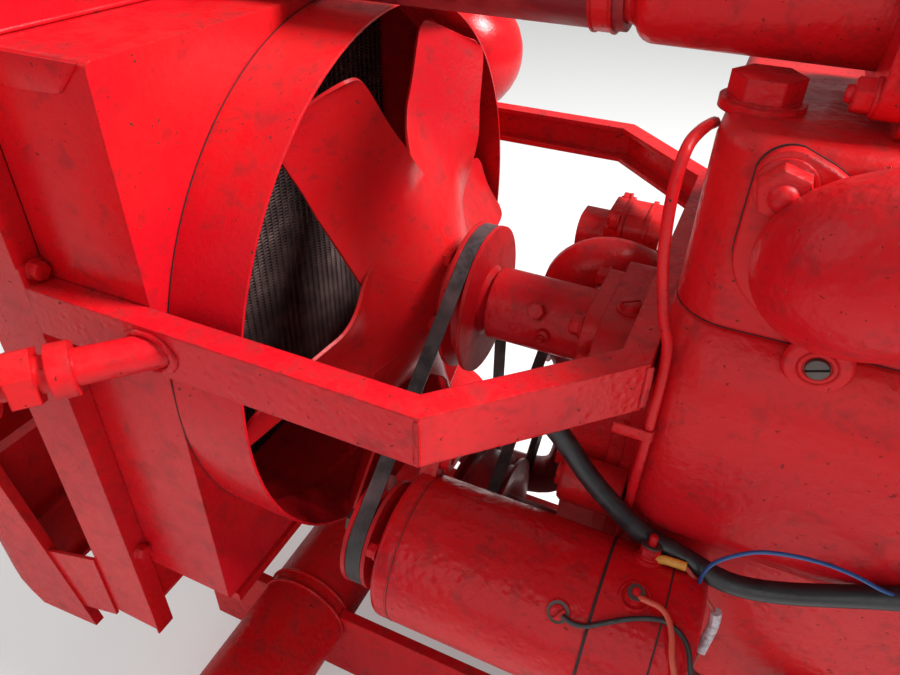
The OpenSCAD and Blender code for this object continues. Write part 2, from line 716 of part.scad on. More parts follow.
// The fan cowl: a shallow box over the core, and a round ring on its rear wall
module fan_cowl() {
    color(paint) difference() {
        slab_x(cowl_x, cowl_l - seat) polygon(round_box(-side_y, side_y, core_low, core_high, 5));
        slab_x(cowl_x + sheet_t, cowl_l)
            polygon(round_box(sheet_t - side_y, side_y - sheet_t, core_low + sheet_t,
                core_high - sheet_t, 3));
        rod_x(cowl_x - 1, cowl_x + sheet_t + 1, 0, fan_up, ring_r);
    }
}
module cowl_ring() {
    outer = ring_r + sheet_t;
    color(paint) turned_x(cowl_x - ring_l, 0, fan_up,
        [[ring_r, 0], [outer, 0], [outer, ring_l], [ring_r, ring_l]]);
}

module radiator_core() {
    groove_d = 3;
    half = core_w / 2 - 1;
    pitch = (core_w - 4) / core_grooves;
    edge = [for (i = [0:core_grooves - 1]) let(y = -core_w / 2 + 2 + (i + 0.5) * pitch)
        each [[0, y - pitch * 0.28], [groove_d, y - pitch * 0.14], [groove_d, y + pitch * 0.14],
            [0, y + pitch * 0.28]]];
    back = [for (p = edge) [core_x + p[0], p[1]]];
    front = [for (i = [len(edge) - 1:-1:0]) [core_front - edge[i][0], edge[i][1]]];
    color("dimgray") translate([0, 0, core_low]) linear_extrude(core_high - core_low)
        polygon(concat([[core_front, -half], [core_x, -half]], back, [[core_x, half], [core_front, half]],
            front));
}

cap_x = core_x + core_l / 2;
module top_tank() {
    r = 26;
    top = core_high + tank_h;
    front = core_front + 6;
    outline = concat([[front, core_high]], arc(front - r, top - r, r, 0, 90, 6),
        arc(tank_back + r, top - r, r, 90, 180, 6), [[tank_back, core_high]]);
    color(paint) {
        translate([0, channel_y, 0]) rotate([90, 0, 0]) linear_extrude(2 * channel_y) polygon(outline);
        rod_x(tank_back - neck_l, tank_back + 1, outlet_y, outlet_z, hose_neck_r - seat);
        translate([cap_x, 0, top - 2]) cylinder(h = 14, r = 24);
    }
}

module filler_cap() {
    color("silver") translate([cap_x, 0, core_high + tank_h + 12]) {
        cylinder(h = 6, r = 30);
        translate([0, 0, 5]) cylinder(h = 6, r = 22);
    }
}

module bottom_tank() {
    z0 = core_low - bottom_tank_h;
    color(paint) {
        rotate([90, 0, 0]) translate([0, 0, -side_y]) linear_extrude(core_w)
            polygon(concat([[core_x, core_low]], arc(core_x + 12, z0 + 12, 12, 180, 270, 4),
                arc(core_front - 12, z0 + 12, 12, 270, 360, 4), [[core_front, core_low]]));
        rod_x(core_x - 5, core_x + 1, bottom_neck_y, bottom_neck_z, bottom_hose_r);
    }
}

// Side channel of the radiator, with its flange strip along the cowl's edge
module side_channel() {
    low = core_low - bottom_tank_h - 16;
    high = core_high - seat;
    wide = channel_w - seat;
    color(paint) {
        translate([core_x, side_y + seat, low]) cube([core_l, wide, high - low]);
        translate([core_x - 2, side_y + seat, low - 6]) cube([2, wide, high - low - 114]);
    }
}
module side_channel_left() {
    side_channel();
}
module side_channel_right() {
    mirror([0, 1, 0]) side_channel();
}

// Side sheet of the nose ahead of the radiator, bent round its front corner, on a plate from the channel
nose_y = channel_y + 4;
nose_back = core_front + 36;
nose_bend = 50;
nose_front = core_front + 172;
module nose_sheet() {
    t = sheet_t;
    x = nose_front - nose_bend;
    y = nose_y - nose_bend;
    inner = nose_y - 130;
    outline = concat([[nose_back, nose_y]], arc(x, y, nose_bend, 90, 0, 8),
        [[nose_front, inner], [nose_front - t, inner]], arc(x, y, nose_bend - t, 0, 90, 8),
        [[nose_back, nose_y - t]]);
    color(paint) {
        intersection() {
            translate([0, 0, -nose_low]) linear_extrude(2 * nose_low) polygon(outline);
            translate([0, nose_y + 1, 0]) rotate([90, 0, 0]) linear_extrude(140) polygon(nose_side);
        }
        intersection() {
            translate([nose_back, nose_y - 9, -nose_low]) cube([60, 9 - t / 2, 2 * nose_low]);
            translate([0, nose_y + 1, 0]) rotate([90, 0, 0]) linear_extrude(140)
                polygon([nose_side[0], nose_side[0] + [2, 0], nose_side[1] + [2, 0], nose_side[1]]);
        }
        translate([0, nose_y - t, 0]) rotate([90, 0, 0]) linear_extrude(3)
            polygon([[core_front, 62], [core_front, -16], [nose_back + 16, -34], [nose_back + 40, 34]]);
    }
}
nose_low = 200;
nose_side = [[nose_back + 1, -56], [nose_back + 57, 160], [nose_front + 1, 160], [nose_front + 1, 20],
    [nose_front - 20, -20], [nose_front - 62, -66]];
// Sheet across the nose, with a fold along its top and a rib
module nose_cross_sheet() {
    x = nose_back + 58;
    wide = 2 * nose_y - 2 * sheet_t;
    color(paint) {
        translate([x, -wide / 2, -30]) cube([sheet_t, wide, 163]);
        translate([x, -wide / 2, 131]) cube([12, wide, sheet_t]);
        translate([x - 7, -wide / 2, 47]) cube([7 + sheet_t, wide, 5]);
        translate([x - 7, -wide / 2, -30]) cube([7 + sheet_t, wide, 5]);
    }
}
module nose_sheet_left() {
    nose_sheet();
}
module nose_sheet_right() {
    mirror([0, 1, 0]) nose_sheet();
}

rail_back = housing_l + 60;
rail_front = core_front + 10;
support_top = core_low - bottom_tank_h - seat;
module radiator_support() {
    plate = 10;
    leg = 40;
    color(paint) {
        translate([core_x - 52, -side_y + 34, support_top - plate]) cube([core_l + 60, core_w - 68, plate]);
        for (s = [-1, 1])
            translate([core_x - 12, s * (rail_y + rail_t / 2) - leg / 2, rail_top])
                cube([core_l + 10, leg, support_top - plate - rail_top]);
    }
}

tube_z = rail_top - 17;
module cross_tube() {
    cap = 4;
    color(paint) translate([tube_x, -tube_l / 2, tube_z]) rotate([-90, 0, 0]) rotate_extrude()
        polygon([[0, 0], [tube_r - cap, 0], [tube_r, cap], [tube_r, tube_l - cap], [tube_r - cap, tube_l],
            [0, tube_l]]);
}

// A side plate of the front frame, from the sump forward under the radiator
module frame_rail() {
    color(paint) difference() {
        translate([rail_back, rail_y, rail_top - rail_h]) cube([rail_front - rail_back, rail_t, rail_h]);
        rod_y(tube_x, 0, tube_l, tube_z, tube_r + seat);
    }
}
module frame_rail_left() {
    frame_rail();
}
module frame_rail_right() {
    mirror([0, 1, 0]) frame_rail();
}

// Lamp arm: a tube welded to the stay frame's arm, slanting out and forward
arm_x = belt_x + 106;
arm_z = fan_up + stay_up + stay_h / 2;
arm_slant = 48;
lamp_back = arm_x + 1;
lamp_y = channel_y + 140;
lamp_z = arm_z + 22;
module lamp_body(extra) {
    r = lamp_r + extra;
    turned_x(lamp_back - extra, lamp_y, lamp_z,
        concat([for (i = [0:8]) let(t = 90 * i / 8) [r * sin(t), (lamp_l - 22) * (1 - cos(t))]],
        [[r + 3, lamp_l - 20], [r + 3, lamp_l - 4], [r - 2, lamp_l], [r - 6, lamp_l], [r - 6, lamp_l - 8],
        [0, lamp_l - 8]]));
}
module lamp_arm() {
    color(paint) difference() {
        translate([arm_x, channel_y, arm_z]) rotate([0, 0, arm_slant]) {
            rod_x(-20, 130, 0, 0, arm_r);
            rod_x(38, 50, 0, 0, arm_r + 5);
            translate([56, 0, 0]) rotate([0, 90, 0]) hex_z(14, 30);
            rod_x(78, 130, 0, 0, arm_r + 8);
        }
        translate([arm_x - 100, channel_y - 100, arm_z - 50]) cube([200, 100, 100]);
        lamp_body(seat);
    }
}
module lamp_shell() {
    color(paint) lamp_body(0);
}
module lamp_glass() {
    x = lamp_back + lamp_l - 8 + seat;
    r = lamp_r - 7;
    color("whitesmoke") turned_x(x, lamp_y, lamp_z, [[0, 0], [r, 0], [r, 5], [r - 23, 9], [0, 13]]);
}
module lamp_arm_left() {
    lamp_arm();
}
module lamp_arm_right() {
    mirror([0, 1, 0]) lamp_arm();
}
module lamp_shell_left() {
    lamp_shell();
}
module lamp_shell_right() {
    mirror([0, 1, 0]) lamp_shell();
}
module lamp_glass_left() {
    lamp_glass();
}
module lamp_glass_right() {
    mirror([0, 1, 0]) lamp_glass();
}

// The pipe and the loom, as distance ahead of the block's front, distance left and height
pipe_r = 3;
pipe_route = [[2.5, 62, 446], [4, 80, 450], [6, 98, 452], [8, 112, 451], [9, 120, 445], [9.5, 123, 434],
    [9, 124, 418], [7.5, 122, 398], [4, 120, 376], [0, 121, 360], [-5, 124, 347], [-6.5, 127, 328],
    [-6.5, 129, 306], [-6.5, 130, 280], [-6, 130, 252], [-5.5, 127, 226], [-4, 118, 198],
    [-4, 111, 172], [-8, 113, 146],
    [-22, 115.3, 130], [-40, 115.3, 124], [-56, 115.3, 122]];
loom_r = 6;
loom_route = [[-220, 138.3, 262], [-185, 138.3, 250], [-153, 138.3, 237], [-109, 137, 214], [-88, 145, 215],
    [-68, 153.5, 219.5], [-50, 154, 222], [-32, 150.5, 219.5], [-4, 141, 226], [21, 134, 251],
    [40, 134, 275], [54, 148, 300], [60, 160, 318]];
function from_front(route) = [for (p = route) [p[0] + block_front, p[1], p[2]]];
module fuel_pipe() {
    color(paint) swept(smooth(from_front(pipe_route), 3), pipe_r, 8);
}
module wiring_loom() {
    color(dark) swept(smooth(from_front(loom_route), 3), loom_r, 8);
}

module fan_belt() {
    v_belt(belt_x, [crank_at, dynamo_at, fan_at]);
}
module pump_belt() {
    v_belt(pump_belt_x, [crank_at, pump_at]);
}

// A fan blade as sections: radius, half width ahead, half width behind, pitch, distance ahead of the hub
fan_plate_x = belt_x + pulley_half + 6;
blade_first = 28;
fan_boss_r = fan_hub_r - 20;
half_blade = blade_w / 2;
blade_sections = [
    [26, 16, 16, 0, 5.5], [fan_hub_r, fan_hub_r * 0.6, fan_hub_r * 0.6, 0, 23],
    [fan_hub_r + 16, fan_hub_r * 0.65, fan_hub_r * 0.65, blade_pitch * 0.57, 35],
    [fan_r - 98, half_blade + 3, half_blade + 4, blade_pitch * 0.93, 43],
    [fan_r - 46, half_blade, half_blade + 3, blade_pitch, 50],
    [fan_r - 12, half_blade - 2, half_blade + 2, blade_pitch, 54],
    [fan_r, half_blade - 3, half_blade - 8, blade_pitch, 55]
];
function blade_point(p, u, side) = [fan_plate_x + p[4] + u * sin(p[3]) + side * blade_t / 2 * cos(p[3]),
    u * cos(p[3]) - side * blade_t / 2 * sin(p[3]), p[0]];
module fan_blade() {
    lofted([for (p = blade_sections) [blade_point(p, p[1], 1), blade_point(p, p[1], -1),
        blade_point(p, -p[2], -1), blade_point(p, -p[2], 1)]]);
}
module fan_blades() {
    color(paint) translate([0, 0, fan_up]) {
        for (i = [0:blade_count - 1])
            rotate([-blade_first + i * 360 / blade_count, 0, 0]) fan_blade();
        turned_x(fan_plate_x, 0, 0, [[0, 0], [fan_boss_r, 0], [fan_boss_r, 4], [30, 8], [24, 18], [0, 18]]);
    }
}

module fan_pulley() {
    r = fan_pulley_r;
    front = fan_plate_x - belt_x;
    rear = -pulley_half;
    color(paint) turned_x(belt_x, 0, fan_up, concat([[0, front], [fan_boss_r, front],
        [fan_boss_r, pulley_half], [r, pulley_half]], groove(r, 0), [[r, rear], [fan_shaft_r + 16, rear],
        [fan_shaft_r + 10, -15], [fan_shaft_r, -15], [fan_shaft_r, -38], [0, -38]]));
}

module crank_pulley() {
    r = crank_pulley_r;
    nut_r = 26;
    boss_r = crank_shaft_r + 12;
    front = pulley_half;
    rear = -groove_gap - pulley_half;
    boss_rear = timing_front + 14 - belt_x;
    shaft_rear = timing_front - 20 - belt_x;
    color(paint) turned_x(belt_x, 0, 0, concat([[0, front + 6], [nut_r, front + 6], [nut_r, front - 4],
        [r - 16, front - 4], [r - 12, front], [r, front]], groove(r, 0), groove(r, -groove_gap),
        [[r, rear], [r - 14, rear], [boss_r, rear + 6], [boss_r, boss_rear], [crank_shaft_r, boss_rear],
        [crank_shaft_r, shaft_rear], [0, shaft_rear]]));
}

module flywheel() {
    back = recess_l - 8 - flywheel_t;
    front = back + flywheel_t;
    hub_r = 52;
    hub_front = recess_l - 3;
    color("dimgray") turned_x(0, 0, 0, [[0, back + 6], [hub_r + 8, back + 6], [hub_r + 12, back],
        [flywheel_r, back], [flywheel_r, front], [hub_r, front], [hub_r, hub_front],
        [crank_rear_r, hub_front], [crank_rear_r, housing_l], [0, housing_l]]);
}

// A pulley for one belt, with a nut in front, a collar behind and its shaft
module small_pulley(x, y, z, r, collar, shaft) {
    nut_r = 9;
    collar_r = 18;
    front = pulley_half;
    color(paint) turned_x(x, y, z, concat([[0, front + 8], [nut_r, front + 8], [nut_r, front - 1],
        [r - 12, front - 1], [r - 10, front], [r, front]], groove(r, 0), [[r, -front], [collar_r, -front],
        [collar_r, -collar], [dynamo_shaft_r, -collar], [dynamo_shaft_r, -shaft], [0, -shaft]]));
}
module dynamo_pulley() {
    small_pulley(belt_x, dynamo_out, dynamo_up, dynamo_pulley_r, dynamo_back - 3,
        dynamo_back + dynamo_front_l + 6);
}
module pump_pulley() {
    small_pulley(pump_belt_x, -pump_out, pump_up, pump_pulley_r, 15, 36);
}

flywheel_housing();
engine_block();
cylinder_head();
rocker_cover();
sump();
front_plate();
timing_cover();
water_outlet();
top_hose();
intake_manifold();
exhaust_manifold();
fan_housing();
water_inlet();
bottom_hose();
side_pump();
dynamo_front_end();
dynamo_yoke();
dynamo_rear_end();
dynamo_bracket();
adjusting_strap();
stay_frame();
fan_cowl();
cowl_ring();
radiator_core();
top_tank();
bottom_tank();
side_channel_left();
side_channel_right();
nose_sheet_left();
nose_sheet_right();
nose_cross_sheet();
filler_cap();
radiator_support();
cross_tube();
frame_rail_left();
frame_rail_right();
lamp_arm_left();
lamp_arm_right();
lamp_shell_left();
lamp_shell_right();
lamp_glass_left();
lamp_glass_right();
fuel_pipe();
wiring_loom();
fan_belt();
pump_belt();
fan_blades();
fan_pulley();
crank_pulley();
flywheel();
dynamo_pulley();
pump_pulley();
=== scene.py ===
import json
from math import cos, pi, radians, sin, sqrt, tan

import bmesh
import bpy
from bpy.props import FloatProperty, FloatVectorProperty, PointerProperty
from mathutils import Matrix, Vector


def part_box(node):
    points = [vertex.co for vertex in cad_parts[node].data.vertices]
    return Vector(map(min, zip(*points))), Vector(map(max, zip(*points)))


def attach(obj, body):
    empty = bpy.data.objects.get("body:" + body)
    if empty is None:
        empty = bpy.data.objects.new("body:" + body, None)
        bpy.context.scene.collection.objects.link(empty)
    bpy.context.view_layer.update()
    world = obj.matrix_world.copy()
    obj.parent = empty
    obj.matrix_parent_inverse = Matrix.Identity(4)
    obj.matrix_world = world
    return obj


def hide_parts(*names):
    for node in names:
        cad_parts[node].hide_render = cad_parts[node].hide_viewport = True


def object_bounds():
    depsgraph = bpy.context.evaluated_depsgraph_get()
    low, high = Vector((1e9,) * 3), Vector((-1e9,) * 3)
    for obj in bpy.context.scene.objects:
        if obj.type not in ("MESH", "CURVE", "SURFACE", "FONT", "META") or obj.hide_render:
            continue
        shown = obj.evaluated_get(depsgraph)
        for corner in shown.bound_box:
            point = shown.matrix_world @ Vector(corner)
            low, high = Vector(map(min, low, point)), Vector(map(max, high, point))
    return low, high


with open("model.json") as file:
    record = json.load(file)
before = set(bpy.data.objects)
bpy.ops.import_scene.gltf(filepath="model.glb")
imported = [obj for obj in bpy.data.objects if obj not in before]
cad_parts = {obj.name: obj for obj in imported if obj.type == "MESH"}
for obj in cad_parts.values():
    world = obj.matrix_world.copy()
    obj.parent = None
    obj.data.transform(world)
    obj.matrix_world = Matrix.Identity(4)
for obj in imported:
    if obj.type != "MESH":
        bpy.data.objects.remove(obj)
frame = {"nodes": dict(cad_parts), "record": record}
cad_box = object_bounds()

bl_info = {
    "name": "Tractor engine with radiator and fan",
    "version": (1, 0, 0),
    "blender": (4, 5, 0),
    "location": "View3D > Sidebar > Engine",
    "description": "Dresses a red-painted tractor engine, its radiator, fan, dynamo and lamps",
    "category": "Object",
}

MM = 0.001

# The record's slot and the body of each solid
SLOT_OF = {part["node"]: part["material_slot"] for part in frame["record"]["subparts"]}
BODY_OF = {node: body for body, nodes in frame["record"]["behaviour"]["bodies"].items() for node in nodes}


# Settings


class EnginePaint(bpy.types.PropertyGroup):
    red: FloatVectorProperty(
        name="Red paint", description="Colour of the fresh red paint", subtype="COLOR",
        size=3, min=0.0, max=1.0, default=(0.61, 0.006, 0.011))
    dust: FloatVectorProperty(
        name="Dust", description="Colour of the dust that lies on the paint", subtype="COLOR",
        size=3, min=0.0, max=1.0, default=(0.3, 0.055, 0.05))
    rust: FloatVectorProperty(
        name="Chips", description="Colour of the primer and rust in the paint's chips", subtype="COLOR",
        size=3, min=0.0, max=1.0, default=(0.075, 0.02, 0.014))
    rubber: FloatVectorProperty(
        name="Belt rubber", description="Colour of the worn belts", subtype="COLOR",
        size=3, min=0.0, max=1.0, default=(0.026, 0.021, 0.022))


class EngineSizes(bpy.types.PropertyGroup):
    nut: FloatProperty(
        name="Nuts", description="Width across the flats of the head and manifold nuts",
        default=0.019, min=0.013, max=0.024, unit="LENGTH")
    bolt: FloatProperty(
        name="Bolts", description="Width across the flats of the cover bolts",
        default=0.013, min=0.010, max=0.017, unit="LENGTH")
    bead: FloatProperty(
        name="Weld beads", description="Radius of the weld beads",
        default=0.0028, min=0.0015, max=0.005, unit="LENGTH")
    tube_pitch: FloatProperty(
        name="Core pitch", description="Distance between the radiator's tubes",
        default=0.0085, min=0.007, max=0.012, unit="LENGTH")
    fin_pitch: FloatProperty(
        name="Fin pitch", description="Distance between the radiator's fins",
        default=0.003, min=0.002, max=0.005, unit="LENGTH")


class EngineStage(bpy.types.PropertyGroup):
    key: FloatProperty(
        name="Key light", description="Power of the light behind the engine",
        default=112.0, min=0.0, max=500.0, unit="POWER")
    fill: FloatProperty(
        name="Fill light", description="Power of the light at the engine's left",
        default=18.0, min=0.0, max=500.0, unit="POWER")
    world: FloatProperty(
        name="World", description="Strength of the even light from all sides",
        default=0.3, min=0.0, max=2.0)
    lens: FloatProperty(
        name="Lens", description="Focal length of the camera", default=28.2, min=20.0, max=85.0)


# Node trees


class Shader:
    """A material whose nodes are added one by one, with the object's own coordinates at hand."""

    def __init__(self, name):
        self.material = bpy.data.materials.new(name)
        self.material.use_nodes = True
        self.tree = self.material.node_tree
        self.tree.nodes.clear()
        self.out = self.add("OutputMaterial")
        self.surface = self.add("BsdfPrincipled")
        self.link(self.surface.outputs["BSDF"], self.out.inputs["Surface"])
        self.coords = self.add("TexCoord").outputs["Object"]
        self.geometry = self.add("NewGeometry")

    def link(self, a, b):
        self.tree.links.new(a, b)

    def put(self, socket, value):
        """Give a socket its value, its colour or a link."""
        if isinstance(value, bpy.types.NodeSocket):
            self.link(value, socket)
        elif hasattr(value, "__len__") and len(value) == 3 and socket.type == "RGBA":
            socket.default_value = (*value, 1.0)
        else:
            socket.default_value = value

    def fill(self, node, **values):
        """Put a value or a link into each named input of a node."""
        for name, value in values.items():
            self.put(node.inputs[name.replace("_", " ")], value)
        return node

    def add(self, kind, **values):
        return self.fill(self.tree.nodes.new("ShaderNode" + kind), **values)

    def set(self, **values):
        self.fill(self.surface, **values)

    def stretched(self, scale):
        return self.add("Mapping", Vector=self.coords, Scale=scale).outputs["Vector"]

    def noise(self, scale, detail=3.0, rough=0.55, vector=None, warp=0.0):
        return self.add("TexNoise", Vector=vector or self.coords, Scale=scale, Detail=detail,
                        Roughness=rough, Distortion=warp).outputs["Fac"]

    def cells(self, scale):
        return self.add("TexVoronoi", Vector=self.coords, Scale=scale).outputs["Distance"]

    def wave(self, scale, axis="X", warp=0.0):
        bands = self.add("TexWave", Vector=self.coords, Scale=scale, Distortion=warp)
        bands.bands_direction = axis
        return bands.outputs["Fac"]

    def remap(self, value, a, b, c=0.0, d=1.0):
        """Ease a value from the range a to b into the range c to d."""
        ease = self.add("MapRange", Value=value, From_Min=a, From_Max=b, To_Min=c, To_Max=d)
        ease.interpolation_type = "SMOOTHSTEP"
        return ease.outputs["Result"]

    def math(self, op, a, b=0.0):
        n = self.add("Math")
        n.operation = op
        self.put(n.inputs[0], a)
        self.put(n.inputs[1], b)
        return n.outputs[0]

    def times(self, a, b):
        return self.math("MULTIPLY", a, b)

    def sum(self, *pairs):
        """Add up values, each with its own weight."""
        total = None
        for value, weight in pairs:
            part = self.times(value, weight)
            total = part if total is None else self.math("ADD", total, part)
        return total

    def mix(self, factor, a, b):
        """One colour over another."""
        n = self.add("Mix")
        n.data_type = "RGBA"
        self.put(n.inputs["Factor"], factor)
        self.put(n.inputs[6], a)
        self.put(n.inputs[7], b)
        return n.outputs[2]

    def up(self):
        return self.add("SeparateXYZ", Vector=self.geometry.outputs["Normal"]).outputs["Z"]

    def rounded(self, radius):
        """The surface's direction, with its edges rounded off."""
        n = self.add("Bevel", Radius=radius)
        n.samples = 3
        return n.outputs["Normal"]

    def worn_edges(self, rounded):
        """1 where an edge is, which is where the rounded direction leaves the true one."""
        n = self.add("VectorMath")
        n.operation = "DOT_PRODUCT"
        self.link(rounded, n.inputs[0])
        self.link(self.geometry.outputs["Normal"], n.inputs[1])
        return self.remap(n.outputs["Value"], 0.97, 0.8)

    def bump(self, height, distance, strength=1.0, normal=None):
        n = self.add("Bump", Height=height, Distance=distance, Strength=strength)
        if normal is not None:
            self.link(normal, n.inputs["Normal"])
        return n.outputs["Normal"]


def red_paint(name, tint, gloss, grain=0.0, pits=0.0, dust=0.5, chips=0.5, runs=0.0, edge=0.001):
    """Thick red paint: orange peel, runs, small pits, a thin film of dust, and chips along the edges."""
    colours = bpy.context.scene.engine_paint
    s = Shader(name)
    base = Vector(colours.red) * tint
    deep = (base[0] * 0.84, base[1] * 0.75, base[2] * 1.05)
    warm = (min(base[0] * 1.06, 1.0), base[1] * 1.35, base[2] * 0.95)
    broad = s.noise(7.0, 3.0, 0.5)
    fine = s.noise(64.0, 5.0, 0.66, warp=0.35)
    colour = s.mix(s.remap(broad, 0.3, 0.7), deep, warm)
    dark = (base[0] * 0.45, base[1] * 0.9, base[2] * 0.9)
    colour = s.mix(s.times(s.remap(fine, 0.5, 0.7), 0.55), colour, dark)
    facing = s.remap(s.up(), 0.1, 0.95)
    film = s.remap(s.math("ADD", s.times(fine, 0.6), s.times(broad, 0.4)), 0.38, 0.68)
    dusty = s.times(s.times(s.math("ADD", s.times(facing, 0.7), 0.3), film), dust)
    colour = s.mix(dusty, colour, tuple(colours.dust))
    rounded = s.rounded(edge)
    flecks = s.noise(290.0, 2.0, 0.6)
    flakes = s.remap(s.noise(210.0, 3.0, 0.6), 0.53, 0.58)
    chipped = s.math("MAXIMUM", s.times(s.times(s.worn_edges(rounded), flakes), chips),
                     s.times(s.remap(flecks, 0.7, 0.73), min(chips * 1.8, 1.0)))
    colour = s.mix(chipped, colour, tuple(colours.rust))
    rough = s.math("ADD", s.sum((fine, 0.14), (dusty, 0.45), (chipped, 0.5)), gloss - 0.07)
    height = s.sum((flecks, 0.16), (s.noise(48.0, 2.0, 0.5), 0.2 + grain * 0.6),
                   (s.noise(150.0, 2.0, 0.5), grain * 0.7), (chipped, -0.4))
    if pits:
        height = s.math("ADD", height, s.times(s.remap(s.cells(130.0), 0.0, 0.45), pits))
    if runs:
        drips = s.noise(1.0, 2.0, 0.5, vector=s.stretched((95.0, 95.0, 12.0)), warp=0.3)
        height = s.math("ADD", height, s.times(s.remap(drips, 0.48, 0.72), runs))
    s.set(Base_Color=colour, Roughness=rough, Normal=s.bump(height, 0.0014, 0.85, rounded))
    s.set(Coat_Weight=0.0, Specular_IOR_Level=0.2)
    return s.material


def hose_rubber(name):
    s = Shader(name)
    base = Vector(bpy.context.scene.engine_paint.red)
    film = s.remap(s.noise(26.0, 5.0, 0.65), 0.4, 0.66)
    cloth = s.wave(420.0, "DIAGONAL", warp=0.4)
    colour = s.mix(film, (base[0] * 0.3, 0.006, 0.01), (base[0] * 0.56, 0.012, 0.016))
    colour = s.mix(s.remap(s.noise(70.0, 4.0), 0.63, 0.7), colour, (0.02, 0.018, 0.018))
    s.set(Base_Color=colour, Roughness=s.remap(film, 0.0, 1.0, 0.34, 0.58))
    s.set(Normal=s.bump(s.sum((cloth, 0.2), (s.noise(60.0), 0.5)), 0.0006, 0.7))
    return s.material


def belt_rubber(name):
    s = Shader(name)
    base = Vector(bpy.context.scene.engine_paint.rubber)
    wear = s.remap(s.noise(90.0, 5.0, 0.7), 0.4, 0.66)
    colour = s.mix(wear, tuple(base * 0.7), tuple(base * 2.2))
    colour = s.mix(s.remap(s.noise(14.0, 3.0), 0.45, 0.75), colour, (0.14, 0.085, 0.09))
    threads = s.noise(1.0, 2.0, 0.5, vector=s.stretched((1500.0, 160.0, 160.0)))
    s.set(Base_Color=colour, Roughness=s.remap(wear, 0.0, 1.0, 0.48, 0.72))
    s.set(Normal=s.bump(s.sum((threads, 0.5), (wear, 0.3)), 0.0005, 0.8, s.rounded(0.0006)))
    return s.material


def cable_sleeve(name, colour=(0.012, 0.012, 0.015), rough=0.3, dust=0.4):
    s = Shader(name)
    film = s.remap(s.noise(70.0, 5.0, 0.7), 0.42, 0.7)
    grey = tuple(0.7 * c + 0.035 for c in colour)
    tone = s.mix(s.times(film, dust), colour, grey)
    s.set(Base_Color=tone, Roughness=s.remap(film, 0.0, 1.0, rough, rough + 0.22))
    s.set(Normal=s.bump(s.noise(240.0, 3.0, 0.6), 0.0003, 0.6))
    return s.material


def bare_metal(name, colour, rough, rust=0.3, turned=0.0, shine=1.0):
    s = Shader(name)
    film = s.remap(s.noise(34.0, 6.0, 0.7), 0.45, 0.72)
    tone = s.mix(s.noise(120.0, 3.0), colour, tuple(c * 0.7 for c in colour))
    tone = s.mix(s.times(film, rust), tone, (0.13, 0.052, 0.028))
    height = s.noise(310.0, 3.0, 0.6)
    if turned:
        rings = s.noise(1.0, 1.0, 0.5, vector=s.stretched((1400.0, 12.0, 12.0)))
        height = s.math("ADD", height, s.times(rings, turned))
    s.set(Base_Color=tone, Metallic=s.remap(film, 0.0, 1.0, shine, shine * (1.0 - rust)))
    s.set(Roughness=s.remap(film, 0.0, 1.0, rough, min(rough + 0.35, 1.0)))
    s.set(Normal=s.bump(height, 0.0004, 0.5))
    return s.material


def worn_pulley(name):
    """Red paint whose rim is worn to dark bare metal."""
    s = Shader(name)
    base = Vector(bpy.context.scene.engine_paint.red)
    film = s.remap(s.noise(42.0, 5.0, 0.65), 0.4, 0.68)
    paint = s.mix(film, (base[0] * 0.34, 0.005, 0.009), (base[0] * 0.6, 0.01, 0.014))
    rounded = s.rounded(0.001)
    flakes = s.remap(s.noise(130.0, 4.0, 0.7), 0.55, 0.6)
    spots = s.remap(s.noise(170.0, 4.0, 0.7), 0.66, 0.7)
    worn = s.math("MAXIMUM", s.times(s.times(s.worn_edges(rounded), flakes), 0.6), spots)
    colour = s.mix(worn, paint, (0.07, 0.035, 0.025))
    s.set(Base_Color=colour, Roughness=s.remap(film, 0.0, 1.0, 0.34, 0.55), Specular_IOR_Level=0.25)
    s.set(Normal=s.bump(s.noise(180.0, 3.0), 0.0005, 0.6, rounded))
    return s.material


def core_metal(name, tone=(0.07, 0.046, 0.044), dust=(0.2, 0.13, 0.118)):
    s = Shader(name)
    grime = s.remap(s.noise(46.0, 6.0, 0.7), 0.4, 0.7)
    s.set(Base_Color=s.mix(grime, tone, dust), Metallic=0.3, Roughness=s.remap(grime, 0.0, 1.0, 0.42, 0.75))
    s.set(Normal=s.bump(s.noise(230.0, 3.0, 0.6), 0.0004, 0.7))
    return s.material


def lamp_pane(name):
    s = Shader(name)
    flutes = s.wave(62.0, "Y")
    s.set(Base_Color=(0.93, 0.96, 0.97), Roughness=0.06, IOR=1.45, Transmission_Weight=1.0)
    s.set(Normal=s.bump(s.sum((flutes, 1.0), (s.noise(90.0), 0.15)), 0.0012, 0.8))
    return s.material


def tape(name):
    s = Shader(name)
    wraps = s.wave(90.0, "Z", warp=1.2)
    stain = s.remap(s.noise(160.0, 4.0, 0.7), 0.45, 0.7)
    s.set(Base_Color=s.mix(stain, (0.62, 0.61, 0.66), (0.3, 0.22, 0.24)), Roughness=0.55)
    s.set(Normal=s.bump(s.sum((wraps, 0.7), (stain, 0.3)), 0.0006, 0.8))
    return s.material


# The record's slot that each finish belongs to: the solids' own finishes bear their slots' names
finishes = {}


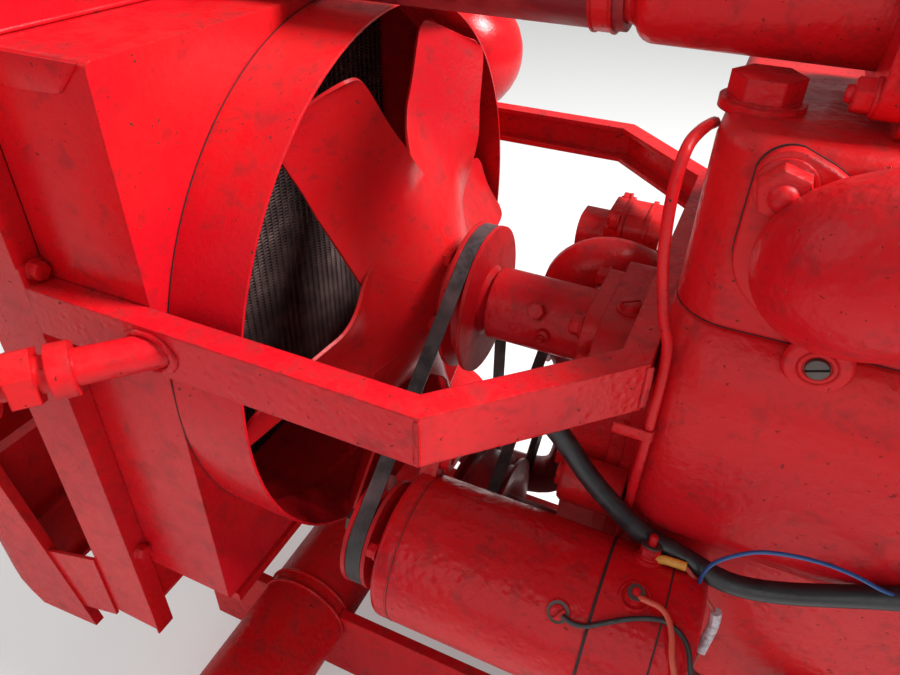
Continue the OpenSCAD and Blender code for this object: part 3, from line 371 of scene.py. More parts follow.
def make_finishes():
    """Every finish of the engine, by name."""
    finishes.update({
        "cast_red": red_paint(
            "Cast red", 1.0, 0.3, grain=0.7, pits=0.12, dust=0.3, chips=0.4, runs=0.1, edge=0.002),
        "sheet_red": red_paint("Sheet red", 1.06, 0.27, grain=0.08, dust=0.24, chips=0.5, edge=0.001),
        "stay_red": red_paint(
            "Frame red", 1.06, 0.25, grain=0.35, pits=0.2, dust=0.28, chips=0.6, edge=0.0016),
        "dynamo_red": red_paint(
            "Dynamo red", 1.02, 0.2, grain=0.9, pits=0.25, dust=0.14, chips=0.35, edge=0.0012),
        "lamp_red": red_paint("Lamp red", 1.06, 0.2, grain=0.03, dust=0.2, chips=0.25, edge=0.001),
        "fan_red": red_paint("Fan red", 0.85, 0.32, grain=0.1, dust=0.26, chips=0.4, edge=0.0008),
        "pulley_worn": worn_pulley("Pulley red"),
        "core_dark": core_metal("Core tubes"),
        "fins": core_metal("Core fins", (0.13, 0.086, 0.082), (0.3, 0.19, 0.175)),
        "cap_metal": bare_metal("Dulled chrome", (0.62, 0.61, 0.6), 0.24, rust=0.15),
        "bare_iron": bare_metal("Machined iron", (0.36, 0.34, 0.33), 0.38, rust=0.35, turned=0.6),
        "steel": bare_metal("Dirty steel", (0.11, 0.09, 0.082), 0.45, rust=0.5, shine=0.6),
        "reflector": bare_metal("Silvered bowl", (0.82, 0.82, 0.8), 0.1, rust=0.04),
        "lamp_glass": lamp_pane("Lamp glass"),
        "hose_rubber": hose_rubber("Painted hose"),
        "belt_rubber": belt_rubber("Belt rubber"),
        "cable_black": cable_sleeve("Cable sleeve"),
        "black_lead": cable_sleeve("Black lead", (0.02, 0.019, 0.021), 0.45, 0.7),
        "orange_lead": cable_sleeve("Orange lead", (0.62, 0.075, 0.04), 0.4, 0.3),
        "pink_lead": cable_sleeve("Pink lead", (0.46, 0.065, 0.05), 0.4, 0.3),
        "blue_lead": cable_sleeve("Blue lead", (0.008, 0.07, 0.25), 0.35, 0.2),
        "yellow_sleeve": cable_sleeve("Yellow sleeve", (0.72, 0.36, 0.055), 0.4, 0.3),
        "white_tape": tape("White tape"),
        "seam": cable_sleeve("Dark seam", (0.03, 0.006, 0.007), 0.7, 0.2),
    })


# Modelling steps that the operators share

# Washers under hexagons and under slotted heads: the thickness, and the height at which the head starts
WASHER, HEAD_START = 0.0018, 0.0016
SLOT_WASHER, SLOT_HEAD_START = 0.0014, 0.0012

# The radius at which a turned outline meets its axis, and the distances up to which points are merged
POLE = 1e-5
PIPE_MERGE, TURNED_MERGE, CAST_MERGE = 1e-6, 5e-5, 2e-5


def only(*objs):
    """Leave edit mode, and select these pieces and nothing else."""
    if bpy.context.mode != "OBJECT":
        bpy.ops.object.mode_set(mode="OBJECT")
    bpy.ops.object.select_all(action="DESELECT")
    for obj in objs:
        obj.select_set(True)
    if objs:
        bpy.context.view_layer.objects.active = objs[0]


def whole(obj, kind=None):
    """Select the whole of a piece in edit mode."""
    only(obj)
    bpy.ops.object.mode_set(mode="EDIT")
    if kind:
        bpy.ops.mesh.select_mode(type=kind)
    bpy.ops.mesh.select_all(action="SELECT")


def faced_out(obj):
    """Turn a piece's faces outwards, and leave edit mode."""
    whole(obj)
    bpy.ops.mesh.normals_make_consistent(inside=False)
    only(obj)
    return obj


def twin(model):
    """A copy of a piece, with a mesh of its own."""
    one = model.copy()
    one.data = model.data.copy()
    bpy.context.scene.collection.objects.link(one)
    return one


def discard(obj):
    """Delete a model whose copies are in place."""
    only(obj)
    bpy.ops.object.delete()


def pick(obj, kind, test):
    """Select, in edit mode, the vertices, edges or faces that pass a test."""
    if obj.mode != "EDIT":
        only(obj)
        bpy.ops.object.mode_set(mode="EDIT")
    bpy.ops.mesh.select_mode(type=kind)
    bpy.ops.mesh.select_all(action="DESELECT")
    mesh = bmesh.from_edit_mesh(obj.data)
    found = [e for e in {"VERT": mesh.verts, "EDGE": mesh.edges, "FACE": mesh.faces}[kind] if test(e)]
    if not found:
        raise RuntimeError(f"nothing to select on {obj.name}")
    for element in found:
        element.select_set(True)
    mesh.select_flush_mode()
    bmesh.update_edit_mesh(obj.data)


def high(z, eps=1e-5):
    """A test for edges and faces that lie at a height or above it."""
    return lambda e: all(v.co.z > z - eps for v in e.verts)


def rod(radius, depth, sides=32, start=0.0, chamfer=0.0):
    """A round bar that stands at a height above its own origin, with an eased upper edge."""
    only()
    bpy.ops.mesh.primitive_cylinder_add(vertices=sides, radius=radius, depth=depth, location=(0, 0, 0))
    obj = bpy.context.object
    whole(obj)
    bpy.ops.transform.translate(value=(0, 0, start + depth / 2))
    if chamfer:
        pick(obj, "EDGE", high(start + depth))
        bpy.ops.mesh.bevel(offset=chamfer, segments=2, affect="EDGES")
    only(obj)
    return obj


def joined(*objs):
    """The pieces as one, which keeps the first one's origin."""
    only(*objs)
    bpy.ops.object.join()
    return bpy.context.object


def hex_head(across, height, washer=0.0):
    """A hexagon with a chamfered top, on a washer."""
    start = HEAD_START if washer else 0.0
    head = rod(across / 2 / cos(radians(30)), height, 6, start)
    end = start + height
    pick(head, "EDGE", high(end))
    bpy.ops.mesh.bevel(offset=across * 0.075, segments=2, affect="EDGES")
    pick(head, "FACE", lambda f: f.normal.z > 0.99 and high(end)(f))
    bpy.ops.mesh.inset(thickness=across * 0.12)
    bpy.ops.transform.translate(value=(0, 0, across * 0.02))
    only(head)
    if not washer:
        return head
    return joined(head, rod(washer, WASHER, 28, 0.0, 0.0005))


def stud_nut(across, height, stud, up, washer):
    """A nut on its washer, with the end of the stud above it."""
    return joined(hex_head(across, height, washer), rod(stud, height + up, 20, 0.0008, stud * 0.3))


def dome_nut(across, height, washer):
    """A nut on its washer, closed by a dome."""
    nut = hex_head(across, height * 0.62, washer)
    dome = ((0.46, 0.55), (0.44, 0.75), (0.34, 0.93), (0.17, 1.04), (0.0, 1.07))
    return joined(nut, turned([(across * r, height * z) for r, z in dome], 28))


def slotted_screw(radius, height, slot, washer=0.0):
    """A round head with a sawn slot, on a washer."""
    start = SLOT_HEAD_START if washer else 0.0
    head = rod(radius, height, 32, start, height * 0.3)
    for side in (-slot / 2, slot / 2):
        whole(head)
        bpy.ops.mesh.bisect(plane_co=(0, side, 0), plane_no=(0, 1, 0))
    pick(head, "FACE", lambda f: f.normal.z > 0.9 and abs(f.calc_center_median().y) < slot * 0.45
         and f.calc_center_median().z > start + height * 0.6)
    bpy.ops.mesh.extrude_region_move(TRANSFORM_OT_translate={"value": (0, 0, -height * 0.45)})
    only(head)
    if not washer:
        return head
    return joined(head, rod(washer, SLOT_WASHER, 32, 0.0, 0.0004))


def turned(outline, sides=48, shut=True):
    """Turn an outline of radius and height into a surface, ring by ring."""
    only()
    radius, z = max(outline[0][0], POLE), outline[0][1]
    bpy.ops.mesh.primitive_circle_add(vertices=sides, radius=radius, location=(0, 0, 0))
    obj = bpy.context.object
    whole(obj, "EDGE")
    bpy.ops.transform.translate(value=(0, 0, z))
    for r, up in outline[1:]:
        r = max(r, POLE)
        bpy.ops.mesh.extrude_edges_move(TRANSFORM_OT_translate={"value": (0, 0, up - z)})
        bpy.ops.transform.resize(value=(r / radius, r / radius, 1), center_override=(0, 0, up))
        radius, z = r, up
    bpy.ops.mesh.select_all(action="SELECT")
    bpy.ops.mesh.remove_doubles(threshold=TURNED_MERGE)
    if shut:
        bpy.ops.mesh.select_all(action="DESELECT")
        bpy.ops.mesh.select_non_manifold()
        if any(edge.select for edge in bmesh.from_edit_mesh(obj.data).edges):
            bpy.ops.mesh.fill_holes(sides=0)
    return faced_out(obj)


def weld_bead(radius, thick, seed=1, sides=64):
    """A ring of weld, uneven along its length."""
    only()
    bpy.ops.mesh.primitive_torus_add(
        major_segments=sides, minor_segments=8, major_radius=radius, minor_radius=thick, location=(0, 0, 0))
    obj = bpy.context.object
    whole(obj)
    bpy.ops.transform.vertex_random(offset=thick * 0.35, seed=seed)
    bpy.ops.mesh.vertices_smooth(factor=0.4)
    only(obj)
    return obj


def weld_line(a, b, thick, seed=1):
    """A straight run of weld between two points, uneven along its length."""
    a, b = Vector(a) * MM, Vector(b) * MM
    length = (b - a).length
    count = max(4, int(length / 0.003))
    only()
    bpy.ops.mesh.primitive_grid_add(x_subdivisions=8, y_subdivisions=count, size=1.0, location=(0, 0, 0))
    obj = bpy.context.object
    whole(obj)
    bpy.ops.transform.resize(value=(thick * 2.4, length, 1.0))
    for step in (0.5, 1.0):
        pick(obj, "VERT", lambda v: abs(v.co.x) < thick * 1.25 * (1.0 - 0.45 * step))
        bpy.ops.transform.translate(value=(0, 0, thick * 0.35))
    bpy.ops.mesh.select_all(action="SELECT")
    bpy.ops.transform.vertex_random(offset=thick * 0.22, seed=seed)
    bpy.ops.mesh.extrude_region_move(TRANSFORM_OT_translate={"value": (0, 0, -thick)})
    faced_out(obj)
    aim = (b - a).to_track_quat("Y", "Z").to_matrix().to_4x4()
    return apply_at(obj, Matrix.Translation((a + b) / 2) @ aim)


def apply_at(obj, matrix):
    """Move a piece, and put the move into its mesh."""
    only(obj)
    obj.matrix_world = matrix @ obj.matrix_world
    bpy.ops.object.transform_apply(location=True, rotation=True, scale=True)
    return obj


def standing(point, axis, spin=0.0):
    """The place of a piece that stands on a point, given in millimetres, with its own Z along an axis."""
    turn = Vector(axis).to_track_quat("Z", "Y").to_matrix().to_4x4()
    return Matrix.Translation(Vector(point) * MM) @ turn @ Matrix.Rotation(radians(spin), 4, "Z")


def spread(model, places):
    """Copy a model to each place, and join the copies to one piece."""
    made = [apply_at(twin(model), standing(*place)) for place in places]
    discard(model)
    return joined(*made)


def path(points, radius=None, resolution=6, order=3, round_steps=3):
    """A round lead or pipe through points in millimetres, which carry a radius where none is given."""
    only()
    bpy.ops.curve.primitive_nurbs_path_add(radius=1.0, location=(0, 0, 0))
    obj = bpy.context.object
    obj.data.splines.clear()
    spline = obj.data.splines.new("NURBS")
    spline.points.add(len(points) - 1)
    for knot, at in zip(spline.points, points):
        knot.co = (*(Vector(at[:3]) * MM), 1.0)
        knot.radius = at[3] if radius is None else 1.0
    spline.order_u = order
    spline.use_endpoint_u = True
    spline.resolution_u = resolution
    obj.data.bevel_depth = MM if radius is None else radius
    obj.data.bevel_resolution = round_steps
    obj.data.use_fill_caps = True
    only(obj)
    bpy.ops.object.convert(target="MESH")
    obj = bpy.context.object
    whole(obj)
    bpy.ops.mesh.remove_doubles(threshold=PIPE_MERGE)
    return faced_out(obj)


def block(size, chamfer=0.0, segments=2):
    """A small block on its own origin's plane, with eased edges."""
    only()
    bpy.ops.mesh.primitive_cube_add(size=1.0, location=(0, 0, 0))
    obj = bpy.context.object
    whole(obj)
    bpy.ops.transform.resize(value=size)
    bpy.ops.transform.translate(value=(0, 0, size[2] / 2))
    if chamfer:
        bpy.ops.mesh.select_mode(type="EDGE")
        bpy.ops.mesh.bevel(offset=chamfer, segments=segments, affect="EDGES")
    only(obj)
    return obj


def sheet_piece(outline, thick, chamfer=0.0):
    """A flat outline in millimetres, given its thickness upwards."""
    only()
    bpy.ops.mesh.primitive_circle_add(vertices=len(outline), radius=1.0, fill_type="NGON", location=(0, 0, 0))
    obj = bpy.context.object
    for vert, at in zip(obj.data.vertices, outline):
        vert.co = (at[0] * MM, at[1] * MM, 0.0)
    whole(obj, "FACE")
    bpy.ops.mesh.extrude_region_move(TRANSFORM_OT_translate={"value": (0, 0, thick)})
    if chamfer:
        pick(obj, "EDGE", high(thick))
        bpy.ops.mesh.bevel(offset=chamfer, segments=2, affect="EDGES")
    return faced_out(obj)


def done(obj, name, finish, body="root", angle=36.0, replaces=()):
    """Name a finished piece, smooth its curved faces, give it its finish and let it ride on its body."""
    only(obj)
    bpy.ops.object.transform_apply(location=True, rotation=True, scale=True)
    bpy.ops.object.shade_smooth_by_angle(angle=radians(angle))
    obj.name = name
    obj.data.name = name
    obj.data.materials.clear()
    obj.data.materials.append(finishes[finish])
    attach(obj, body)
    if replaces:
        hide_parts(*replaces)
    only()
    return obj


def low(node):
    """The lowest x, y and z of a solid, in millimetres."""
    return Vector(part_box(node)[0]) / MM


def top(node):
    """The highest x, y and z of a solid, in millimetres."""
    return Vector(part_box(node)[1]) / MM


# Places in millimetres that several operators share
FAN_X = 605.0
FAN_UP = 262.0
TIMING_FACE = 485.0
DYNAMO_Y = 168.0
DYNAMO_Z = 164.0
DYNAMO_R = 51.0

# Places on the dynamo's casing: distance along, and the angle from the top towards the left
FIRST_TERMINAL = (414.5, -20.7)
SECOND_TERMINAL = (416.0, 14.2)
CASING_SCREW = (453.7, 40.7)


def on_circle(radius, angle, y=0.0, z=0.0):
    """The y and z of a point on a circle across the engine: the angle runs from the top towards the left."""
    a = radians(angle)
    return y + radius * sin(a), z + radius * cos(a)


def on_dynamo(x, angle, r=DYNAMO_R):
    """A point of the dynamo's casing, and the direction in which it faces."""
    return (x, *on_circle(r, angle, DYNAMO_Y, DYNAMO_Z)), (0.0, *on_circle(1, angle))


def corner(x, y, r, start, end, steps):
    """Points of a rounded corner, in millimetres and degrees."""
    turns = [radians(start + (end - start) * i / steps) for i in range(steps + 1)]
    return [(x + r * cos(t), y + r * sin(t)) for t in turns]


def rounded_box(x0, x1, y0, y1, r, steps=6):
    """The outline of a box with four rounded corners, in millimetres."""
    return [*corner(x1 - r, y0 + r, r, -90, 0, steps), *corner(x1 - r, y1 - r, r, 0, 90, steps),
            *corner(x0 + r, y1 - r, r, 90, 180, steps), *corner(x0 + r, y0 + r, r, 180, 270, steps)]


def side_sheet(outline, y, thick, chamfer=0.0):
    """A flat piece on the left side, drawn as distance along and height, that stands out from y."""
    piece = sheet_piece([(-x, z) for x, z in outline], thick * MM, chamfer)
    return apply_at(piece, Matrix(((-1, 0, 0, 0), (0, 0, 1, y * MM), (0, 1, 0, 0), (0, 0, 0, 1))))


def mm(*outline):
    """An outline given in millimetres, in Blender's metres."""
    return [(a * MM, b * MM) for a, b in outline]


def rows(obj, count, step):
    """Repeat a piece along a step, as one mesh."""
    only(obj)
    bpy.ops.object.modifier_add(type="ARRAY")
    array = obj.modifiers[-1]
    array.count = count
    array.use_relative_offset = False
    array.use_constant_offset = True
    array.constant_offset_displace = step
    bpy.ops.object.modifier_apply(modifier=array.name)
    return obj


def ring_band(inner, outer, half, sides=64):
    """A flat-sided ring, in millimetres: its two radii, and half its width along the axis."""
    outline = mm((inner, -half), (outer, -half), (outer, half), (inner, half), (inner, -half))
    return turned(outline, sides, shut=False)


def both_sides(places):
    """Places on the left side, and the same ones mirrored to the right."""
    return [*places, *[((x, -y, z), (a, -b, c), -spin) for (x, y, z), (a, b, c), spin in places]]


UP, DOWN, LEFT, RIGHT, AHEAD, BACK = (0, 0, 1), (0, 0, -1), (0, 1, 0), (0, -1, 0), (1, 0, 0), (-1, 0, 0)

# Castings and tubes whose curved faces show, with the angle up to which their faces are smooth
CURVED = (
    ("engine_block", 24), ("cylinder_head", 28), ("rocker_cover", 28), ("water_outlet", 28),
    ("water_inlet", 32), ("bottom_hose", 36), ("exhaust_manifold", 36), ("fuel_pipe", 50),
    ("dynamo_front_end", 28), ("dynamo_rear_end", 28), ("dynamo_yoke", 28), ("lamp_arm_left", 28),
    ("lamp_arm_right", 28), ("cross_tube", 28), ("fan_housing", 28), ("cowl_ring", 28), ("side_pump", 28),
    ("sump", 28), ("fan_cowl", 28), ("fan_belt", 28), ("pump_belt", 28), ("fan_pulley", 28),
    ("crank_pulley", 28), ("dynamo_pulley", 28), ("pump_pulley", 28), ("top_hose", 28), ("top_tank", 28),
    ("flywheel_housing", 28), ("timing_cover", 28),
)

# The fan's sheet from the hub to a blade's tip: radius, half width, distance ahead of the hub, pitch in degrees
BLADE = (
    (24, 13.5, 5.0, 0), (43, 24.5, 13.0, 0), (60, 34.6, 22.0, 3), (79, 46.0, 32.5, 12), (90, 52.0, 38.0, 18),
    (98, 47.5, 41.0, 22), (109, 40.0, 44.0, 26), (124, 35.0, 46.5, 28), (150, 32.0, 50.0, 28),
    (175, 31.0, 53.0, 28), (188.5, 30.0, 54.5, 28), (195.5, 27.0, 55.0, 28), (198.5, 20.0, 55.0, 28),
)
BLADES = 6
BLADE_START = -31
BLADE_SHEET = 0.0024

# The webs' radius, the distance over which a blade comes free of them, and how far a blade is hollowed
WEB_RADIUS = 90
WEB_FADE = 40
CAMBER = 4.0


def between(before, here, there, later, share):
    """A smooth curve through four values, at a share of the way between the middle two."""
    return 0.5 * (2 * here + (there - before) * share + (2 * before - 5 * here + 4 * there - later) * share ** 2
                  + (3 * here - before - 3 * there + later) * share ** 3)


def blade_point(across, along):
    """A point of the fan's sheet: both go from -0.5 to 0.5, across one blade, and along it from hub to tip."""
    place = (along + 0.5) * (len(BLADE) - 1)
    row = min(int(place), len(BLADE) - 2)
    around = (BLADE[max(0, min(i, len(BLADE) - 1))] for i in range(row - 1, row + 3))
    radius, half, ahead, pitch = (between(*values, place - row) for values in zip(*around))
    edge = radius * tan(pi / BLADES)
    side = across * 2 * min(half, edge)
    free = min(1.0, max(0.0, (radius - WEB_RADIUS) / WEB_FADE))
    twist = tan(radians(pitch)) * (1 - (1 - free) * sin(side / edge * pi / 2) ** 2)
    camber = CAMBER * (1 - (2 * across) ** 2) * free
    up = sqrt(max(radius * radius - side * side * (1 - free), 0))
    return (FAN_X + ahead - side * twist + camber) * MM, -side * MM, up * MM


# One operator for each piece or group of like pieces


class ENGINE_OT_finishes(bpy.types.Operator):
    """Make the finishes, and give every casting, sheet and line of the engine its own"""
    bl_idname = "engine.finishes"
    bl_label = "Finishes"

    def execute(self, context):
        make_finishes()
        for name, obj in frame["nodes"].items():
            obj.data.materials.clear()
            obj.data.materials.append(finishes[SLOT_OF[name]])
        return {"FINISHED"}


class ENGINE_OT_castings(bpy.types.Operator):
    """Merge and smooth the castings and tubes whose curved faces show"""
    bl_idname = "engine.castings"
    bl_label = "Smooth castings"

    def execute(self, context):
        for node, angle in CURVED:
            obj = bpy.data.objects.new(node, frame["nodes"][node].data.copy())
            context.scene.collection.objects.link(obj)
            only(obj)
            bpy.ops.mesh.customdata_custom_splitnormals_clear()
            whole(obj)
            bpy.ops.mesh.remove_doubles(threshold=CAST_MERGE)
            done(obj, f"{node}_smooth", SLOT_OF[node], BODY_OF[node], angle, replaces=[node])
        return {"FINISHED"}


class ENGINE_OT_intake(bpy.types.Operator):
    """Form the inlet pipe as one smooth casting on its two flanges, with their gaskets"""
    bl_idname = "engine.intake"
    bl_label = "Inlet pipe"

    def execute(self, context):
        # distance along, distance to the left, height, radius
        run = [(378, 115, 408, 26), (378, 121, 410, 31), (376.5, 131, 413, 36.5), (370, 141, 419, 38.5),
               (354, 149, 430, 39), (330, 154, 439, 39.5), (294, 156, 443, 40), (240, 155, 436, 39.5),
               (180, 153, 423, 38), (150, 151, 414, 37), (134, 142, 409, 34), (125, 131, 406, 30),
               (122, 121, 403, 25), (122, 115, 403, 24)]
        pipe = path(run, order=4, resolution=5, round_steps=14)
        front = [*corner(380.5, 409, 37, -100, 0, 12), (417.4, 430), *corner(403, 443, 14.5, 10, 100, 8),
                 (386.2, 451.5), (370, 442), (345, 436), *corner(336, 420, 16, 90, 180, 5),
                 *corner(346, 396, 26, 180, 250, 6)]
        rear = rounded_box(80, 172, 367, 455, 14)
        flanges = [side_sheet(outline, 112, 7, 0.0016) for outline in (front, rear)]
        done(joined(pipe, *flanges), "inlet_pipe", "cast_red", replaces=["intake_manifold"])
        mid_x, mid_z, larger = 370, 418, 1.014
        front_shim = [(mid_x + (x - mid_x) * larger, mid_z + (z - mid_z) * larger) for x, z in front]
        rear_shim = rounded_box(79.4, 172.6, 366.4, 455.6, 14)
        shims = [side_sheet(outline, 111.5, 1.1) for outline in (front_shim, rear_shim)]
        done(joined(*shims), "inlet_gaskets", "seam")
        return {"FINISHED"}


class ENGINE_OT_fan(bpy.types.Operator):
    """Press the fan's blades out of sheet, webbed together round the hub"""
    bl_idname = "engine.fan"
    bl_label = "Fan blades"

    def execute(self, context):
        only()
        bpy.ops.mesh.primitive_grid_add(x_subdivisions=13, y_subdivisions=49, size=1.0, location=(0, 0, 0))
        blade = context.object
        for vert in blade.data.vertices:
            vert.co = blade_point(vert.co.x, vert.co.y)
        only(blade)
        bpy.ops.object.modifier_add(type="SOLIDIFY")
        sheet = blade.modifiers[-1]
        sheet.thickness = BLADE_SHEET
        sheet.offset = 0.0
        bpy.ops.object.modifier_apply(modifier=sheet.name)
        blades = []
        for i in range(BLADES):
            turn = Matrix.Rotation(radians(BLADE_START + 360 / BLADES * i), 4, "X")
            blades.append(apply_at(twin(blade), Matrix.Translation((0, 0, FAN_UP * MM)) @ turn))
        discard(blade)
        cone = turned(mm((0, 0), (40, 0), (40, 3), (34, 6), (29, 10), (24, 18), (22, 19), (0, 19)), 64)
        fan = joined(*blades, apply_at(cone, standing((FAN_X, 0, FAN_UP), AHEAD)))
        done(faced_out(fan), "fan_sheet", "fan_red", "fan", 42, replaces=["fan_blades"])
        return {"FINISHED"}


class ENGINE_OT_loom(bpy.types.Operator):
    """Lay the thick loom round the dynamo's rear and up past the stay frame"""
    bl_idname = "engine.loom"
    bl_label = "Loom"

    def execute(self, context):
        run = [(220, 138.3, 262), (255, 138.5, 250.5), (288, 139, 238.5), (317, 140, 223.5), (335, 140, 213.5),
               (352, 140, 206.5), (366, 140.5, 204.5), (378, 141, 207), (389, 141, 211.5), (400, 140, 213.8),
               (415, 137.2, 214.8), (428, 137.5, 221), (443, 138, 234), (459, 139, 250), (478, 140, 276),
               (494, 148, 300), (500, 160, 318)]
        done(path(run, 0.0064, 5, 3, 7), "loom_sleeve", "cable_black", replaces=["wiring_loom"])
        return {"FINISHED"}


class ENGINE_OT_seams(bpy.types.Operator):
    """Draw the dark joints between head, block, cowl and ring"""
    bl_idname = "engine.seams"
    bl_label = "Joints"

    def execute(self, context):
        gasket = sheet_piece(rounded_box(63.7, 439.8, -112.3, 112.3, 30.3, 8), 0.0009)
        gasket = apply_at(gasket, Matrix.Translation((0, 0, 0.3586)))
        joint = apply_at(ring_band(209.9, 210.8, 0.35, 200), standing((707.3, 0, FAN_UP), BACK))
        done(joined(gasket, joint), "joint_lines", "seam")
        return {"FINISHED"}


class ENGINE_OT_core(bpy.types.Operator):
    """Build the radiator's tubes and fins"""
    bl_idname = "engine.core"
    bl_label = "Radiator core"

    def execute(self, context):
        sizes = context.scene.engine_sizes
        a, b = low("radiator_core") * MM, top("radiator_core") * MM
        pitch, gap, margin = sizes.tube_pitch, sizes.fin_pitch, 0.006
        columns = int((b.y - a.y - margin) / pitch)
        tube = rod(0.0026, b.z - a.z, 10, a.z)
        whole(tube)
        bpy.ops.transform.resize(value=(1.9, 0.6, 1.0))
        bpy.ops.transform.translate(value=(a.x + margin, -(columns - 1) * pitch / 2, 0))
        rows(tube, columns, (0, pitch, 0))
        rows(tube, 3, (0.017, 0, 0))
        done(tube, "radiator_tubes", "core_dark", replaces=["radiator_core"])
        fin = block((b.x - a.x - 0.0034, b.y - a.y - 0.001, 0.00022))
        pick(fin, "FACE", lambda f: abs(f.normal.x) > 0.9)
        bpy.ops.mesh.extrude_region_move(TRANSFORM_OT_translate={"value": (0, 0, -0.0007)})
        whole(fin)
        bpy.ops.transform.translate(value=((a.x + b.x) / 2, 0, a.z + gap / 2))
        rows(fin, int((b.z - a.z) / gap), (0, 0, gap))
        done(fin, "radiator_fins", "fins")
        return {"FINISHED"}


class ENGINE_OT_dynamo(bpy.types.Operator):
    """Add the dynamo's seams, terminals and screws"""
    bl_idname = "engine.dynamo"
    bl_label = "Dynamo fittings"

    def execute(self, context):
        bands = []
        for x, half in ((435.8, 0.9), (398.8, 0.5), (557.6, 0.25)):
            band = ring_band(DYNAMO_R - 0.2, DYNAMO_R + 0.22, half, 128)
            bands.append(apply_at(band, standing((x, DYNAMO_Y, DYNAMO_Z), AHEAD)))
        done(joined(*bands), "dynamo_seams", "seam")

        first, second, screw = on_dynamo(*FIRST_TERMINAL), on_dynamo(*SECOND_TERMINAL), on_dynamo(*CASING_SCREW)
        bases = [apply_at(turned(mm(*outline), 40), standing(*place)) for place, outline in (
            (first, ((8.6, -2.5), (8.6, 0.6), (7.8, 1.5), (5.0, 1.7), (0, 1.7))),
            (second, ((9.4, -2.5), (9.4, 0.5), (8.7, 1.3), (7.4, 1.3), (6.8, 0.2), (0, 0.2))),
            (screw, ((7.4, -2.0), (7.4, 0.3), (6.8, 0.9), (5.6, 0.9), (5.0, 0.1), (0, 0.1))))]
        done(joined(*bases), "terminal_bases", "dynamo_red")
        stem = turned(mm((6.2, 8.2), (6.2, 9.2), (2.6, 9.4), (2.6, 15.5), (1.9, 16.4), (0, 16.4)), 28)
        post = joined(apply_at(hex_head(0.0108, 0.0052, 0.0068), Matrix.Translation((0, 0, 0.0014))), stem)
        nut = joined(hex_head(0.0092, 0.0042, 0.0056), rod(0.0023, 0.0085, 20, 0.001, 0.0006))
        through = [((571.0, *on_circle(43.5, angle, DYNAMO_Y, DYNAMO_Z)), AHEAD, 20) for angle in (52, 232)]
        for name, model, places in (
                ("terminal_post", post, [(*first, 17)]),
                ("terminal_nut", nut, [(*second, 40)]),
                ("casing_screw", slotted_screw(0.0046, 0.0027, 0.0012), [(*screw, 55)]),
                ("dynamo_through_bolts", hex_head(0.009, 0.005, 0.0058), through)):
            done(spread(model, places), name, "dynamo_red")
        return {"FINISHED"}


class ENGINE_OT_leads(bpy.types.Operator):
    """Lay the thin leads from the dynamo's terminals into their sleeve"""
    bl_idname = "engine.leads"
    bl_label = "Leads"

    def execute(self, context):
        sleeve = [(378, 176, 158), (374, 172, 148), (369, 165, 134), (362, 155, 118), (352, 143, 103),
                  (338, 132, 94), (318, 124, 92), (296, 119, 94), (276, 115, 96), (262, 111, 97)]
        done(path(sleeve, 0.0058), "lead_sleeve", "cable_black")
        collar = turned(mm((0, -4), (9.5, -4), (9.5, 1.5), (8.0, 3.0), (6.0, 3.4), (5.9, 5.5), (0, 5.5)), 36)
        done(apply_at(collar, standing((266, 112.5, 96.5), (0.35, 0.93, 0.0))), "lead_grommet", "cable_black")
        bend = (375, 173, 152)
        for name, radius, points in (
                ("black_lead", 1.5, [
                    (450.7, 203.8, 204.4), (446.6, 205.2, 203.2), (438, 204.8, 203.5), (429.8, 201, 206.7),
                    (420.7, 196.3, 210), (410.4, 191.8, 212.5), (401.8, 189.2, 213.7), (397.0, 188.3, 213.2),
                    (388.2, 190.8, 212.2), (382.1, 196.5, 209.2), (378.2, 206.2, 201.8), (373.5, 213, 192),
                    (369, 214, 180), (366, 207, 168), (365, 196, 158), (367, 184, 153), bend]),
                ("orange_lead", 1.7, [
                    (415.6, 182.0, 217.0), (413.3, 184.5, 219.6), (408.2, 184.8, 219.5), (402.1, 184.7, 219.0),
                    (396.7, 187.6, 217.3), (392.4, 194.9, 213.4), (390.2, 203.2, 207.4), (386.1, 209.5, 201.2),
                    (380.5, 216, 191.4), (372, 218, 180), (367, 211, 168), (365, 199, 158), (367, 187, 153),
                    bend]),
                ("pink_lead", 1.5, [
                    (393.5, 150, 216.5), (387, 150, 210), (381.9, 150, 202), (375, 151, 194), (369.5, 152, 188),
                    (368.5, 154, 172), (371, 162, 158), bend]),
                ("blue_lead", 1.2, [
                    bend, (374, 162, 163), (377.5, 154, 172), (380.5, 152, 181.5), (382.8, 152, 195.5),
                    (384, 152, 210.3), (383.3, 152, 222.2), (379.9, 152, 231.6), (371.5, 150, 240),
                    (360.7, 149, 248.6), (345, 149, 254), (326.9, 146, 253), (310.7, 144.5, 249.5),
                    (296, 142, 242), (284, 139.2, 240)])):
            done(path(points, radius * MM), name, name)
        crimp = path([(412.6, 150, 213.6), (408, 150, 215.6), (402, 150, 216.6), (393.0, 150, 216.8)], 0.0027)
        done(crimp, "crimp_sleeve", "yellow_sleeve")
        tab = apply_at(ring_band(2.7, 6.0, 0.6, 28), standing(*on_dynamo(*FIRST_TERMINAL, DYNAMO_R + 9.6)))
        done(tab, "lead_eye", "steel")
        eyes = []
        for terminal, inner, out in ((SECOND_TERMINAL, 2.5, 6.6), (CASING_SCREW, 4.0, 1.0)):
            place = standing(*on_dynamo(*terminal, DYNAMO_R + out))
            eyes.append(apply_at(ring_band(inner, inner + 2.4, 0.5, 24), place))
        done(joined(*eyes), "lead_rings", "steel")
        wrap = path([(369.6, 152, 190), (368, 152.5, 182), (368.6, 154, 172), (370.8, 161, 160)], 0.0034)
        done(wrap, "taped_joint", "white_tape")
        return {"FINISHED"}


